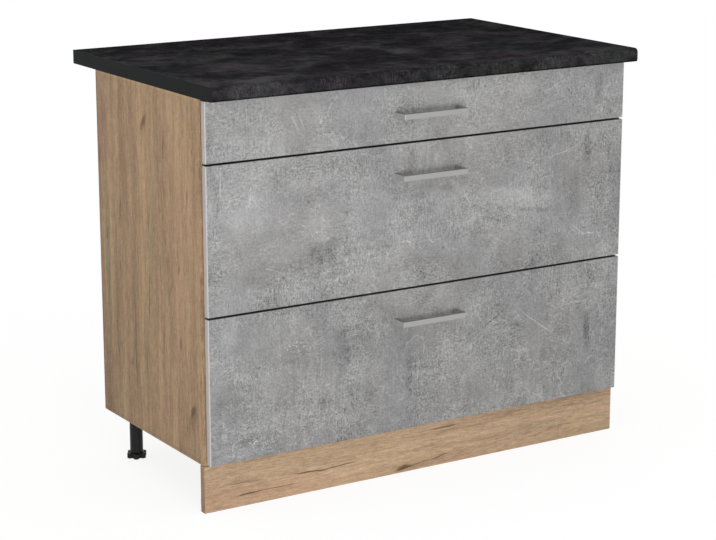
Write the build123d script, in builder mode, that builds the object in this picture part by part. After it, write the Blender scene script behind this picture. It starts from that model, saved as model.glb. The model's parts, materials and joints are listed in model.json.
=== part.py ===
from build123d import *
import math
import os

# Kitchen base cabinet with three drawers. Millimetres.
# X runs across the front, Y from the front to the wall, Z up from the floor.
# The origin is on the floor, under the middle of the worktop.

# ---------------------------------------------------------------- driving sizes
# carcase
carcase_w = 1000.0
carcase_h = 716.0
carcase_d = 440.0
board_t = 16.0
floor_gap = 97.0
rail_w = 100.0
back_t = 3.0
back_inset = 15.0
groove_depth = 8.0
groove_slack = 0.2

# worktop
worktop_d = 600.0
worktop_t = 28.0
front_overhang = 37.0
end_strip_t = 1.0
nose_upper_r = 9.0
nose_lower_r = 5.0

# drawer fronts
front_t = 16.0
bumper_t = 2.0
bumper_r = 4.0
reveal = 5.0
front_gap = 4.0
front_top_gap = 3.0
front_bottom_gap = 3.0
top_front_h = 118.0
front_edge_r = 0.8

# handles
handle_len = 152.0
handle_bar_h = 11.0
handle_bar_t = 8.0
handle_projection = 36.0
handle_drop = 62.0
handle_corner_r = 1.5

# plinth, legs and feet
plinth_t = 16.0
plinth_top_gap = 1.0
leg_in_x = 25.0
leg_from_front = 52.0
leg_from_back = 60.0
leg_flange = 52.0
leg_flange_t = 4.0
leg_flange_corner_r = 10.0
leg_screw_edge = 5.0
leg_tube_r = 13.5
leg_tube_wall = 3.5
leg_collar_r = 16.0
leg_collar_h = 8.0
leg_collar_taper = 8.0
leg_rib_t = 2.5
leg_rib_edge = 2.0
foot_h = 11.0
foot_chamfer = 1.0
foot_core_r = 15.0
foot_lobe_r = 6.0
foot_lobe_out = 15.5
foot_lobes = 6
foot_travel = 20.0
foot_grip = 25.0
leg_bore_spare = 10.0
clip_h = 22.0
clip_plate_t = 3.0
clip_plate_w = 40.0
clip_jaw_t = 2.5
clip_jaw_open = 100.0
clip_web_w = 12.0
clip_slack = 0.1
clip_screw_edge = 2.0

# runners, rollers and steel drawer sides
sheet_t = 1.2
bend_r = 1.0
runner_setback = 2.0
runner_back_gap = 20.0
runner_screw_front = 40.0
runner_screw_rear = 24.0
roller_r = 10.0
roller_w = 8.5
roller_gap = 0.3
roller_floor_gap = 0.4
roller_rim_t = 2.0
roller_bore_r = 2.55
roller_hub_r = 5.0
roller_hub_dip = 1.0
axle_slack = 0.05
rivet_r = 4.0
rivet_t = 0.8
axial_gap = 0.2
ledge_gap = 1.0
runner_clear = 0.6
lip_margin = 0.4
wall_clear = 1.8
front_collar_l = 1.0
front_roller_inset = 14.0
rear_roller_inset = 13.0
lip_start = 73.5
stop_drop = 5.0
runner_top_rise = 8.0
runner_deep_rise = 33.0
side_h = 86.0
side_front_gap = 0.5
side_rear_gap = 3.5
base_lift = 2.0
base_flange_w = 14.0
hem_w = 3.0
return_w = 14.0
drawer_board_t = 16.0
board_slack = 0.2
deep_back_h = 180.0
rod_r = 5.0
ferrule_r = 7.0
ferrule_len = 8.0
rod_drop = 12.0
bracket_t = 2.0
bracket_h = 52.0
bracket_plate_w = 20.0
bracket_arm_l = 42.0
bracket_screw_edge = 3.0
bracket_lock_end = 2.0

# fasteners
screw_r = 1.75
screw_head_r = 3.5
screw_head_t = 1.8
screw_bite = 12.0
screw_slack = 0.05
runner_head_t = 0.8
handle_screw_r = 2.0
handle_screw_head_r = 4.0
handle_screw_head_t = 2.0
handle_screw_bite = 12.0
cam_r = 7.5
cam_t = 12.5
cam_in = 34.0
cam_bolt_r = 3.0
cam_bolt_bite = 11.0
cam_slot_depth = 5.0
cam_cross_w = 1.2
cam_cross_depth = 1.5

# ---------------------------------------------------------------- places worked out from them
carcase_low = floor_gap
carcase_top = carcase_low + carcase_h
total_h = carcase_top + worktop_t
half_w = carcase_w / 2
inner_x = half_w - board_t

worktop_front = -worktop_d / 2
front_face = worktop_front + front_overhang
front_rear = front_face + front_t
carcase_front = front_rear + bumper_t
carcase_rear = carcase_front + carcase_d
back_rear = carcase_rear - back_inset
back_front = back_rear - back_t

front_w = carcase_w - 2 * reveal
stack_h = carcase_h - front_top_gap - front_bottom_gap
deep_front_h = (stack_h - 2 * front_gap - top_front_h) / 2
bottom_z = carcase_low + front_bottom_gap
middle_z = bottom_z + deep_front_h + front_gap
top_z = middle_z + deep_front_h + front_gap

leg_x = inner_x - leg_in_x
leg_front_y = carcase_front + leg_from_front
leg_rear_y = carcase_rear - leg_from_back
leg_screw_pitch = leg_flange - 2 * (screw_head_r + leg_screw_edge)
leg_places = {
    "front_left": (-leg_x, leg_front_y),
    "front_right": (leg_x, leg_front_y),
    "rear_left": (-leg_x, leg_rear_y),
    "rear_right": (leg_x, leg_rear_y),
}
stem_r = leg_tube_r - leg_tube_wall - roller_gap
foot_stem_len = foot_travel + foot_grip

# runner section: u is the distance from the side panel's inner face, w the height above the runner
rear_roller_out = sheet_t + runner_head_t + runner_clear + rivet_t + axial_gap
rear_roller_in = rear_roller_out + roller_w
channel_reach = rear_roller_in + lip_margin
wall_u = channel_reach + wall_clear
wall_in_u = wall_u + sheet_t
front_roller_out = sheet_t + front_collar_l + axial_gap
front_roller_in = front_roller_out + roller_w
channel_h = 2 * sheet_t + 2 * roller_r + 2 * roller_gap
ledge_w = channel_h + ledge_gap
ledge_t = 2 * sheet_t
rear_roller_w = sheet_t + roller_gap + roller_r
front_roller_r = (ledge_w - roller_gap - sheet_t - roller_floor_gap) / 2
front_roller_w = ledge_w - roller_gap - front_roller_r
axle_r = roller_bore_r - axle_slack

runner_front = carcase_front + runner_setback
runner_rear = back_front - runner_back_gap
runner_len = runner_rear - runner_front
front_roller_y = runner_front + front_roller_inset
side_front = front_rear + side_front_gap
side_rear = runner_rear - side_rear_gap
side_len = side_rear - side_front
rear_roller_y = side_rear - rear_roller_inset
stop_y = runner_front + lip_start + sheet_t
stop_w = channel_h - sheet_t - stop_drop
stop_reach = math.sqrt(roller_r**2 - (stop_w - rear_roller_w) ** 2)
drawer_travel = rear_roller_y - stop_y - stop_reach - roller_gap
runner_screw_ys = [
    runner_front + runner_screw_front,
    runner_front + runner_len / 2,
    runner_rear - runner_screw_rear,
]

board_half = inner_x - wall_in_u - board_slack
board_front = side_front + screw_head_t
board_rear = side_rear - sheet_t
base_w = base_lift + sheet_t
floor_w = base_w + drawer_board_t
rod_w = floor_w + deep_back_h - rod_drop
rod_x = board_half - ferrule_r
handle_pitch = handle_len - handle_bar_t

levels = {
    "top": {"front_z": top_z, "front_h": top_front_h, "rise": runner_top_rise, "deep": False},
    "middle": {"front_z": middle_z, "front_h": deep_front_h, "rise": runner_deep_rise, "deep": True},
    "bottom": {"front_z": bottom_z, "front_h": deep_front_h, "rise": runner_deep_rise, "deep": True},
}

os.makedirs("parts", exist_ok=True)


def keep(part, name):
    """Label a finished piece and write it as its own file."""
    part.label = name
    export_step(part, f"parts/{name}.step")


# ---------------------------------------------------------------- helpers for repeated features
def spot(x, y, z, out):
    """A plane at a point, whose normal points out of the material there."""
    return Plane(origin=(x, y, z), z_dir=out)


def drill(plane, radius, depth):
    """A blind round hole from a surface into the piece being made."""
    with Locations(plane):
        Hole(radius, depth)


def add_screw(plane, head_r, head_t, shank_r, shank_l):
    """A headed screw: its head stands on the plane, its shank goes in below it."""
    with BuildSketch(plane) as head:
        Circle(head_r)
    extrude(head.sketch, amount=head_t)
    with BuildSketch(plane) as shank:
        Circle(shank_r)
    extrude(shank.sketch, amount=-shank_l)


def add_block(x0, x1, y0, y1, z0, z1, mode=Mode.ADD):
    """A squared block between two corners."""
    with BuildSketch(Plane.XY.offset(z0)) as footprint:
        with Locations(((x0 + x1) / 2, (y0 + y1) / 2)):
            Rectangle(x1 - x0, y1 - y0)
    extrude(footprint.sketch, amount=z1 - z0, mode=mode)


def section(y):
    """The plane square to Y at y, seen from the front: local x is X, local y is Z."""
    return Plane.XZ.offset(-y)


# ---------------------------------------------------------------- shared fastener places
def leg_screw_planes(z, out):
    planes = []
    for x, y in leg_places.values():
        for dx in (-leg_screw_pitch / 2, leg_screw_pitch / 2):
            for dy in (-leg_screw_pitch / 2, leg_screw_pitch / 2):
                planes.append(spot(x + dx, y + dy, z, out))
    return planes


def runner_screw_planes(side, x_in):
    """side is -1 for the left panel and 1 for the right one; x_in is the distance from its face."""
    planes = []
    for level in levels.values():
        z = level["front_z"] + level["rise"] + channel_h / 2
        for y in runner_screw_ys:
            planes.append(spot(side * (inner_x - x_in), y, z, (-side, 0, 0)))
    return planes


rail_places = {
    "front": (carcase_front, carcase_front + rail_w),
    "rear": (back_front - rail_w, back_front),
}
rail_z = carcase_top - board_t
rail_mid_ys = [(y0 + y1) / 2 for y0, y1 in rail_places.values()]
worktop_screw_spots = [(x, y) for y in rail_mid_ys for x in (-inner_x / 2, inner_x / 2)]
cam_leg_gap = leg_flange / 2 + 2 * cam_r
bottom_cam_ys = [leg_front_y + cam_leg_gap, leg_rear_y - cam_leg_gap]
cam_spots = [(y, carcase_low) for y in bottom_cam_ys] + [(y, rail_z) for y in rail_mid_ys]
bumper_x = (inner_x + front_w / 2) / 2
bumper_zs = [level["front_z"] + level["front_h"] - board_t for level in levels.values()]
clip_z = (floor_gap - plinth_top_gap) / 2
clip_xs = [-leg_x, leg_x]
plinth_rear = carcase_front + plinth_t
clip_screw_dx = clip_plate_w / 2 - screw_head_r - clip_screw_edge
clip_spots = [(x + dx, clip_z) for x in clip_xs for dx in (-clip_screw_dx, clip_screw_dx)]


# ---------------------------------------------------------------- worktop
# The front nose is rounded, more above than below, and the cut ends are edged with thin strips.
def nose_profile(x):
    """The worktop's section, square to X."""
    with BuildSketch(Plane.YZ.offset(x)) as profile:
        with BuildLine():
            Line(
                (worktop_front, carcase_top + nose_lower_r),
                (worktop_front, total_h - nose_upper_r),
            )
            RadiusArc(
                (worktop_front, total_h - nose_upper_r),
                (worktop_front + nose_upper_r, total_h),
                nose_upper_r,
            )
            Polyline(
                (worktop_front + nose_upper_r, total_h),
                (-worktop_front, total_h),
                (-worktop_front, carcase_top),
                (worktop_front + nose_lower_r, carcase_top),
            )
            RadiusArc(
                (worktop_front + nose_lower_r, carcase_top),
                (worktop_front, carcase_top + nose_lower_r),
                nose_lower_r,
            )
        make_face()
    return profile.sketch


with BuildPart() as worktop:
    extrude(nose_profile(end_strip_t - half_w), amount=carcase_w - 2 * end_strip_t)
    for x, y in worktop_screw_spots:
        drill(spot(x, y, carcase_top, (0, 0, -1)), screw_r + screw_slack, screw_bite)
keep(worktop.part, "worktop")

with BuildPart() as worktop_end_strips:
    for x in (-half_w, half_w - end_strip_t):
        extrude(nose_profile(x), amount=end_strip_t)
keep(worktop_end_strips.part, "worktop_end_strips")

# ---------------------------------------------------------------- carcase boards
for side, name in ((-1, "side_panel_left"), (1, "side_panel_right")):
    with BuildPart() as side_panel:
        x0 = min(side * inner_x, side * half_w)
        add_block(x0, x0 + board_t, carcase_front, carcase_rear, carcase_low, carcase_top)
        groove_x = side * (inner_x + groove_depth / 2)
        add_block(
            groove_x - groove_depth / 2,
            groove_x + groove_depth / 2,
            back_front - groove_slack / 2,
            back_rear + groove_slack / 2,
            carcase_low,
            carcase_top,
            Mode.SUBTRACT,
        )
        for plane in runner_screw_planes(side, 0):
            drill(plane, screw_r + screw_slack, screw_bite)
        for y, z in cam_spots:
            drill(spot(side * inner_x, y, z + board_t / 2, (-side, 0, 0)), cam_bolt_r + screw_slack, cam_bolt_bite)
    keep(side_panel.part, name)

with BuildPart() as bottom_panel:
    add_block(-inner_x, inner_x, carcase_front, carcase_rear, carcase_low, carcase_low + board_t)
    add_block(
        -inner_x,
        inner_x,
        back_front - groove_slack / 2,
        back_rear + groove_slack / 2,
        carcase_low + board_t - groove_depth,
        carcase_low + board_t,
        Mode.SUBTRACT,
    )
    for plane in leg_screw_planes(carcase_low, (0, 0, -1)):
        drill(plane, screw_r + screw_slack, screw_bite)
    for side in (-1, 1):
        for y in bottom_cam_ys:
            drill(spot(side * (inner_x - cam_in), y, carcase_low, (0, 0, -1)), cam_r + screw_slack, cam_t + screw_slack)
            drill(spot(side * inner_x, y, carcase_low + board_t / 2, (side, 0, 0)), cam_bolt_r + screw_slack, cam_in)
keep(bottom_panel.part, "bottom_panel")

for (rail_y0, rail_y1), name in zip(rail_places.values(), ("front_rail", "rear_rail")):
    with BuildPart() as rail:
        add_block(-inner_x, inner_x, rail_y0, rail_y1, rail_z, carcase_top)
        for x, y in worktop_screw_spots:
            if rail_y0 < y < rail_y1:
                drill(spot(x, y, rail_z, (0, 0, -1)), screw_r + 2 * screw_slack, board_t)
        y = (rail_y0 + rail_y1) / 2
        for side in (-1, 1):
            drill(spot(side * (inner_x - cam_in), y, rail_z, (0, 0, -1)), cam_r + screw_slack, cam_t + screw_slack)
            drill(spot(side * inner_x, y, rail_z + board_t / 2, (side, 0, 0)), cam_bolt_r + screw_slack, cam_in)
    keep(rail.part, name)

with BuildPart() as back_panel:
    half_back = inner_x + groove_depth - groove_slack
    add_block(
        -half_back,
        half_back,
        back_front,
        back_rear,
        carcase_low + board_t - groove_depth,
        carcase_top,
    )
keep(back_panel.part, "back_panel")

# ---------------------------------------------------------------- cam fittings that hold the boards
with BuildPart() as cam_locks:
    for side in (-1, 1):
        for y, z in cam_spots:
            x = side * (inner_x - cam_in)
            with BuildSketch(Plane.XY.offset(z)):
                with Locations((x, y)):
                    Circle(cam_r)
                with Locations((x + side * (cam_r - cam_slot_depth / 2), y)):
                    Rectangle(cam_slot_depth, 2 * (cam_bolt_r + screw_slack), mode=Mode.SUBTRACT)
            extrude(amount=cam_t)
            with BuildSketch(Plane.XY.offset(z)):
                with Locations((x, y)):
                    Rectangle(cam_r, cam_cross_w, rotation=45)
                    Rectangle(cam_r, cam_cross_w, rotation=-45)
            extrude(amount=cam_cross_depth, mode=Mode.SUBTRACT)
keep(cam_locks.part, "cam_locks")

with BuildPart() as cam_bolts:
    for side in (-1, 1):
        for y, z in cam_spots:
            with BuildSketch(spot(side * (inner_x + cam_bolt_bite), y, z + board_t / 2, (-side, 0, 0))):
                Circle(cam_bolt_r)
            extrude(amount=cam_bolt_bite + cam_in - cam_r + cam_slot_depth)
keep(cam_bolts.part, "cam_bolts")

# ---------------------------------------------------------------- legs and screw-in feet
for place, (leg_cx, leg_cy) in leg_places.items():
    flange_low = carcase_low - leg_flange_t
    with BuildPart() as leg:
        with BuildSketch(Plane.XY.offset(flange_low)):
            with Locations((leg_cx, leg_cy)):
                RectangleRounded(leg_flange, leg_flange, leg_flange_corner_r)
        extrude(amount=leg_flange_t)
        with BuildSketch(Plane.XY.offset(flange_low - leg_collar_h)):
            with Locations((leg_cx, leg_cy)):
                Circle(leg_collar_r)
        extrude(amount=leg_collar_h, taper=-leg_collar_taper)
        for turn in range(4):
            out = Vector(1, 0, 0).rotate(Axis.Z, 90 * turn)
            rib_plane = Plane(origin=(leg_cx, leg_cy, flange_low), x_dir=out, z_dir=out.cross(Vector(0, 0, 1)))
            with BuildSketch(rib_plane):
                with BuildLine():
                    Polyline(
                        (leg_tube_r - leg_tube_wall / 2, 0),
                        (leg_flange / 2 - leg_rib_edge, 0),
                        (leg_tube_r - leg_tube_wall / 2, -leg_collar_h - leg_rib_edge),
                        close=True,
                    )
                make_face()
            extrude(amount=leg_rib_t / 2, both=True)
        with BuildSketch(Plane.XY.offset(foot_h)):
            with Locations((leg_cx, leg_cy)):
                Circle(leg_tube_r)
        extrude(amount=flange_low - foot_h)
        with BuildSketch(Plane.XY.offset(foot_h)):
            with Locations((leg_cx, leg_cy)):
                Circle(leg_tube_r - leg_tube_wall)
        extrude(amount=foot_stem_len + leg_bore_spare, mode=Mode.SUBTRACT)
        for dx in (-leg_screw_pitch / 2, leg_screw_pitch / 2):
            for dy in (-leg_screw_pitch / 2, leg_screw_pitch / 2):
                drill(
                    spot(leg_cx + dx, leg_cy + dy, flange_low, (0, 0, -1)),
                    screw_r + 2 * screw_slack,
                    leg_flange_t,
                )
    keep(leg.part, f"leg_{place}")

    with BuildPart() as foot:
        with BuildSketch(Plane.XY):
            with Locations((leg_cx, leg_cy)):
                Circle(foot_core_r)
                with PolarLocations(foot_lobe_out, foot_lobes):
                    Circle(foot_lobe_r)
        extrude(amount=foot_h)
        chamfer(foot.faces().sort_by(Axis.Z)[0].edges(), foot_chamfer)
        with BuildSketch(Plane.XY.offset(foot_h)):
            with Locations((leg_cx, leg_cy)):
                Circle(stem_r)
        extrude(amount=foot_stem_len)
    keep(foot.part, f"foot_{place}")

# ---------------------------------------------------------------- plinth and its clips
with BuildPart() as plinth_board:
    add_block(-half_w, half_w, carcase_front, plinth_rear, 0, floor_gap - plinth_top_gap)
    for x, z in clip_spots:
        drill(spot(x, plinth_rear, z, (0, 1, 0)), screw_r + screw_slack, screw_bite)
keep(plinth_board.part, "plinth_board")

with BuildPart() as plinth_clips:
    jaw_in_r = leg_tube_r + clip_slack
    jaw_out_r = jaw_in_r + clip_jaw_t
    clip_low = clip_z - clip_h / 2
    for x in clip_xs:
        add_block(
            x - clip_plate_w / 2,
            x + clip_plate_w / 2,
            plinth_rear,
            plinth_rear + clip_plate_t,
            clip_low,
            clip_low + clip_h,
        )
        add_block(
            x - clip_web_w / 2,
            x + clip_web_w / 2,
            plinth_rear + clip_plate_t,
            leg_front_y - jaw_in_r - clip_jaw_t / 2,
            clip_low,
            clip_low + clip_h,
        )
        # the jaw is an open ring: its mouth faces away from the plinth
        with BuildSketch(Plane.XY.offset(clip_low)):
            with BuildLine():
                start = 90 + clip_jaw_open / 2
                sweep_angle = 360 - clip_jaw_open
                outer = CenterArc((x, leg_front_y), jaw_out_r, start, sweep_angle)
                inner = CenterArc((x, leg_front_y), jaw_in_r, start, sweep_angle)
                Line(outer @ 0, inner @ 0)
                Line(outer @ 1, inner @ 1)
            make_face()
        extrude(amount=clip_h)
    for x, z in clip_spots:
        drill(spot(x, plinth_rear + clip_plate_t, z, (0, 1, 0)), screw_r + 2 * screw_slack, clip_plate_t)
keep(plinth_clips.part, "plinth_clips")

# ---------------------------------------------------------------- soft bumpers between fronts and carcase
with BuildPart() as front_bumpers:
    for z in bumper_zs:
        for x in (-bumper_x, bumper_x):
            with BuildSketch(spot(x, carcase_front, z, (0, -1, 0))):
                Circle(bumper_r)
            extrude(amount=bumper_t)
keep(front_bumpers.part, "front_bumpers")

# ---------------------------------------------------------------- screws of the carcase
with BuildPart() as fitting_screws:
    for plane in leg_screw_planes(carcase_low - leg_flange_t, (0, 0, -1)):
        add_screw(plane, screw_head_r, screw_head_t, screw_r, leg_flange_t + screw_bite)
    for side in (-1, 1):
        for plane in runner_screw_planes(side, sheet_t):
            add_screw(plane, screw_head_r, runner_head_t, screw_r, sheet_t + screw_bite)
    for x, y in worktop_screw_spots:
        add_screw(spot(x, y, rail_z, (0, 0, -1)), screw_head_r, screw_head_t, screw_r, board_t + screw_bite)
    for x, z in clip_spots:
        add_screw(
            spot(x, plinth_rear + clip_plate_t, z, (0, 1, 0)),
            screw_head_r,
            screw_head_t,
            screw_r,
            clip_plate_t + screw_bite,
        )
keep(fitting_screws.part, "fitting_screws")


# ---------------------------------------------------------------- roller runners
# Each runner is a bent steel channel screwed to the side panel. The drawer's rear roller rides
# inside it. Its upper lip starts behind the runner's own front roller, on which the drawer's
# ledge rides, and the lip's bent-down front end stops the rear roller.
def left_x(u):
    """X of a point u away from the left side panel's inner face."""
    return u - inner_x


def left_runner(z):
    with BuildPart() as runner:
        with BuildSketch(section(runner_front)):
            points = (
                (left_x(channel_reach), z + channel_h),
                (left_x(0), z + channel_h),
                (left_x(0), z),
                (left_x(channel_reach), z),
            )
            with BuildLine():
                FilletPolyline(*points, radius=bend_r)
                offset(amount=sheet_t, side=Side.LEFT)
            make_face()
        extrude(amount=-runner_len)
        add_block(
            left_x(sheet_t),
            left_x(channel_reach + sheet_t),
            runner_front,
            runner_front + lip_start,
            z + channel_h - 2 * sheet_t,
            z + channel_h,
            Mode.SUBTRACT,
        )
        add_block(
            left_x(sheet_t),
            left_x(channel_reach),
            stop_y - sheet_t,
            stop_y,
            z + stop_w,
            z + channel_h - sheet_t,
        )
        axle = spot(left_x(sheet_t), front_roller_y, z + front_roller_w, (1, 0, 0))
        with BuildSketch(axle):
            Circle(rivet_r)
        extrude(amount=front_collar_l)
        with BuildSketch(axle):
            Circle(axle_r)
        extrude(amount=front_roller_in + axial_gap + rivet_t - sheet_t)
        with BuildSketch(axle.offset(front_roller_in + axial_gap - sheet_t)):
            Circle(rivet_r)
        extrude(amount=rivet_t)
        for y in runner_screw_ys:
            drill(spot(left_x(sheet_t), y, z + channel_h / 2, (1, 0, 0)), screw_r + 2 * screw_slack, sheet_t)
    return runner.part


def roller_pair(y, z, out_u, radius):
    """Two grooved rollers on one line, one at each side of the drawer."""
    with BuildPart() as rollers:
        for side in (-1, 1):
            face = spot(side * (inner_x - out_u), y, z, (-side, 0, 0))
            with BuildSketch(face):
                Circle(radius)
            extrude(amount=roller_w)
            for dip_at in (0, roller_w - roller_hub_dip):
                with BuildSketch(face.offset(dip_at)):
                    Circle(radius - roller_rim_t)
                    Circle(roller_hub_r, mode=Mode.SUBTRACT)
                extrude(amount=roller_hub_dip, mode=Mode.SUBTRACT)
            with BuildSketch(face):
                Circle(roller_bore_r)
            extrude(amount=roller_w, mode=Mode.SUBTRACT)
    return rollers.part


# ---------------------------------------------------------------- drawers
def handle_planes(level, y, out):
    z = level["front_z"] + level["front_h"] - handle_drop
    return [spot(x, y, z, out) for x in (-handle_pitch / 2, handle_pitch / 2)]


def drawer_front(level):
    with BuildPart() as front:
        add_block(
            -front_w / 2,
            front_w / 2,
            front_face,
            front_rear,
            level["front_z"],
            level["front_z"] + level["front_h"],
        )
        chamfer(front.faces().sort_by(Axis.Y)[0].edges(), front_edge_r)
        for plane in handle_planes(level, front_rear, (0, 1, 0)):
            drill(plane, handle_screw_r + 2 * screw_slack, front_t)
        for plane in bracket_screw_planes(level, front_rear):
            drill(plane, screw_r + screw_slack, screw_bite)
    return front.part


def drawer_handle(level):
    """A flat U bow: two legs stand on the front and carry the bar."""
    z = level["front_z"] + level["front_h"] - handle_drop - handle_bar_h / 2
    bar_y = front_face - handle_projection
    with BuildPart() as handle:
        with BuildSketch(Plane.XY.offset(z)):
            with Locations((0, front_face - handle_projection / 2)):
                Rectangle(handle_len, handle_projection)
        extrude(amount=handle_bar_h)
        front_corners = handle.edges().filter_by(Axis.Z).group_by(Axis.Y)[0]
        fillet(front_corners, handle_corner_r)
        add_block(
            -handle_len / 2 + handle_bar_t,
            handle_len / 2 - handle_bar_t,
            bar_y + handle_bar_t,
            front_face,
            z,
            z + handle_bar_h,
            Mode.SUBTRACT,
        )
        for plane in handle_planes(level, front_face, (0, 1, 0)):
            drill(plane, handle_screw_r + screw_slack, handle_screw_bite)
    return handle.part


def runner_z(level):
    return level["front_z"] + level["rise"]


def bracket_low(level):
    return runner_z(level) + floor_w + 2 * screw_slack + screw_head_t


def bracket_screw_planes(level, y):
    planes = []
    z = bracket_low(level) + bracket_h / 2
    x = inner_x - wall_in_u - board_slack - bracket_t - bracket_plate_w / 2
    for side in (-1, 1):
        for dz in (-bracket_h / 3, bracket_h / 3):
            planes.append(spot(side * x, y, z + dz, (0, 1, 0)))
    return planes


def bracket_lock_planes(level, u):
    z = bracket_low(level) + bracket_h / 2
    y = front_rear + bracket_arm_l - screw_head_r - bracket_screw_edge
    return [spot(side * (inner_x - u), y, z, (-side, 0, 0)) for side in (-1, 1)]


def drawer_brackets(level):
    """Two angle brackets that tie the steel sides to the front."""
    arm_u = wall_in_u + board_slack
    low = bracket_low(level)
    with BuildPart() as brackets:
        for side in (-1, 1):
            xs = sorted((side * (inner_x - arm_u), side * (inner_x - arm_u - bracket_t)))
            add_block(xs[0], xs[1], front_rear, front_rear + bracket_arm_l, low, low + bracket_h)
            far_u = arm_u + bracket_t + bracket_plate_w
            xs = sorted((side * (inner_x - arm_u), side * (inner_x - far_u)))
            add_block(xs[0], xs[1], front_rear, front_rear + bracket_t, low, low + bracket_h)
        for plane in bracket_screw_planes(level, front_rear + bracket_t):
            drill(plane, screw_r + 2 * screw_slack, bracket_t)
        for plane in bracket_lock_planes(level, arm_u + bracket_t):
            drill(plane, screw_r + 2 * screw_slack, bracket_t)
    return brackets.part


base_screw_ys = [side_front + side_len / 4, side_front + 3 * side_len / 4]


def base_screw_planes(level, z_up):
    x = inner_x - wall_in_u - base_flange_w / 2
    z = runner_z(level) + z_up
    return [spot(side * x, y, z, (0, 0, -1)) for side in (-1, 1) for y in base_screw_ys]


def back_height(level):
    return deep_back_h if level["deep"] else side_h - floor_w + base_lift


def back_screw_planes(level, y):
    x = inner_x - wall_in_u - return_w / 2
    low = runner_z(level) + floor_w
    high = runner_z(level) + base_lift + side_h
    zs = [low + (high - low) / 4, low + 3 * (high - low) / 4]
    return [spot(side * x, y, z, (0, 1, 0)) for side in (-1, 1) for z in zs]


def left_drawer_side(level):
    """One bent sheet: hemmed top, wall, folded ledge, base flange, and a tab behind the back board."""
    z = runner_z(level)
    top = z + base_lift + side_h
    with BuildPart() as side:
        with BuildSketch(section(side_front)):
            with BuildLine():
                FilletPolyline(
                    (left_x(wall_u), top),
                    (left_x(wall_u), z + base_lift),
                    (left_x(wall_in_u + base_flange_w), z + base_lift),
                    radius=bend_r,
                )
                offset(amount=sheet_t, side=Side.LEFT)
            make_face()
            hem_mid = (left_x(wall_u - hem_w / 2 + sheet_t / 2), top - sheet_t / 2)
            with Locations(hem_mid):
                Rectangle(hem_w + sheet_t, sheet_t)
            ledge_out = 2 * sheet_t
            ledge_mid = (left_x((ledge_out + wall_u) / 2), z + ledge_w + ledge_t / 2)
            with Locations(ledge_mid):
                Rectangle(wall_u - ledge_out, ledge_t)
        extrude(amount=-side_len)
        add_block(
            left_x(wall_u),
            left_x(wall_in_u + return_w),
            side_rear - sheet_t,
            side_rear,
            z + floor_w + screw_head_t,
            top,
        )
        axle = spot(left_x(wall_u), rear_roller_y, z + rear_roller_w, (-1, 0, 0))
        collar_l = wall_u - rear_roller_in - axial_gap
        axle_l = wall_u - rear_roller_out + axial_gap
        with BuildSketch(axle):
            Circle(rivet_r)
        extrude(amount=collar_l)
        with BuildSketch(axle):
            Circle(axle_r)
        extrude(amount=axle_l + rivet_t)
        with BuildSketch(axle.offset(axle_l)):
            Circle(rivet_r)
        extrude(amount=rivet_t)
        for plane in base_screw_planes(level, base_lift)[:2]:
            drill(plane, screw_r + 2 * screw_slack, sheet_t)
        for plane in back_screw_planes(level, side_rear)[:2]:
            drill(plane, screw_r + 2 * screw_slack, sheet_t)
        for plane in bracket_lock_planes(level, wall_in_u)[:1]:
            drill(plane, screw_r + 2 * screw_slack, sheet_t)
    return side.part


def drawer_bottom(level):
    with BuildPart() as bottom:
        z = runner_z(level) + base_w
        add_block(-board_half, board_half, board_front, board_rear, z, z + drawer_board_t)
        for plane in base_screw_planes(level, base_w):
            drill(plane, screw_r + screw_slack, screw_bite)
    return bottom.part


def drawer_back(level):
    with BuildPart() as back:
        z = runner_z(level) + floor_w
        add_block(
            -board_half,
            board_half,
            board_rear - drawer_board_t,
            board_rear,
            z,
            z + back_height(level),
        )
        for plane in back_screw_planes(level, board_rear):
            drill(plane, screw_r + screw_slack, screw_bite)
    return back.part


def drawer_screws(level):
    arm_u = wall_in_u + board_slack
    lock_l = bracket_t + board_slack + sheet_t + bracket_lock_end
    with BuildPart() as screws:
        for plane in handle_planes(level, front_rear, (0, 1, 0)):
            add_screw(
                plane,
                handle_screw_head_r,
                handle_screw_head_t,
                handle_screw_r,
                front_t + handle_screw_bite,
            )
        for plane in bracket_screw_planes(level, front_rear + bracket_t):
            add_screw(plane, screw_head_r, screw_head_t, screw_r, bracket_t + screw_bite)
        for plane in bracket_lock_planes(level, arm_u + bracket_t):
            add_screw(plane, screw_head_r, screw_head_t, screw_r, lock_l)
        for plane in base_screw_planes(level, base_lift):
            add_screw(plane, screw_head_r, runner_head_t, screw_r, sheet_t + screw_bite)
        for plane in back_screw_planes(level, side_rear):
            add_screw(plane, screw_head_r, screw_head_t, screw_r, sheet_t + screw_bite)
    return screws.part


def rail_rods(level):
    """Round rods above the steel sides, with a ferrule at each end, from the front to the back board."""
    z = runner_z(level) + rod_w
    length = board_rear - drawer_board_t - front_rear
    with BuildPart() as rods:
        for x in (-rod_x, rod_x):
            with BuildSketch(spot(x, front_rear, z, (0, 1, 0))):
                Circle(rod_r)
            extrude(amount=length)
            with BuildSketch(spot(x, front_rear, z, (0, 1, 0))):
                Circle(ferrule_r)
            extrude(amount=ferrule_len)
            with BuildSketch(spot(x, front_rear + length, z, (0, -1, 0))):
                Circle(ferrule_r)
            extrude(amount=ferrule_len)
    return rods.part


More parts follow.
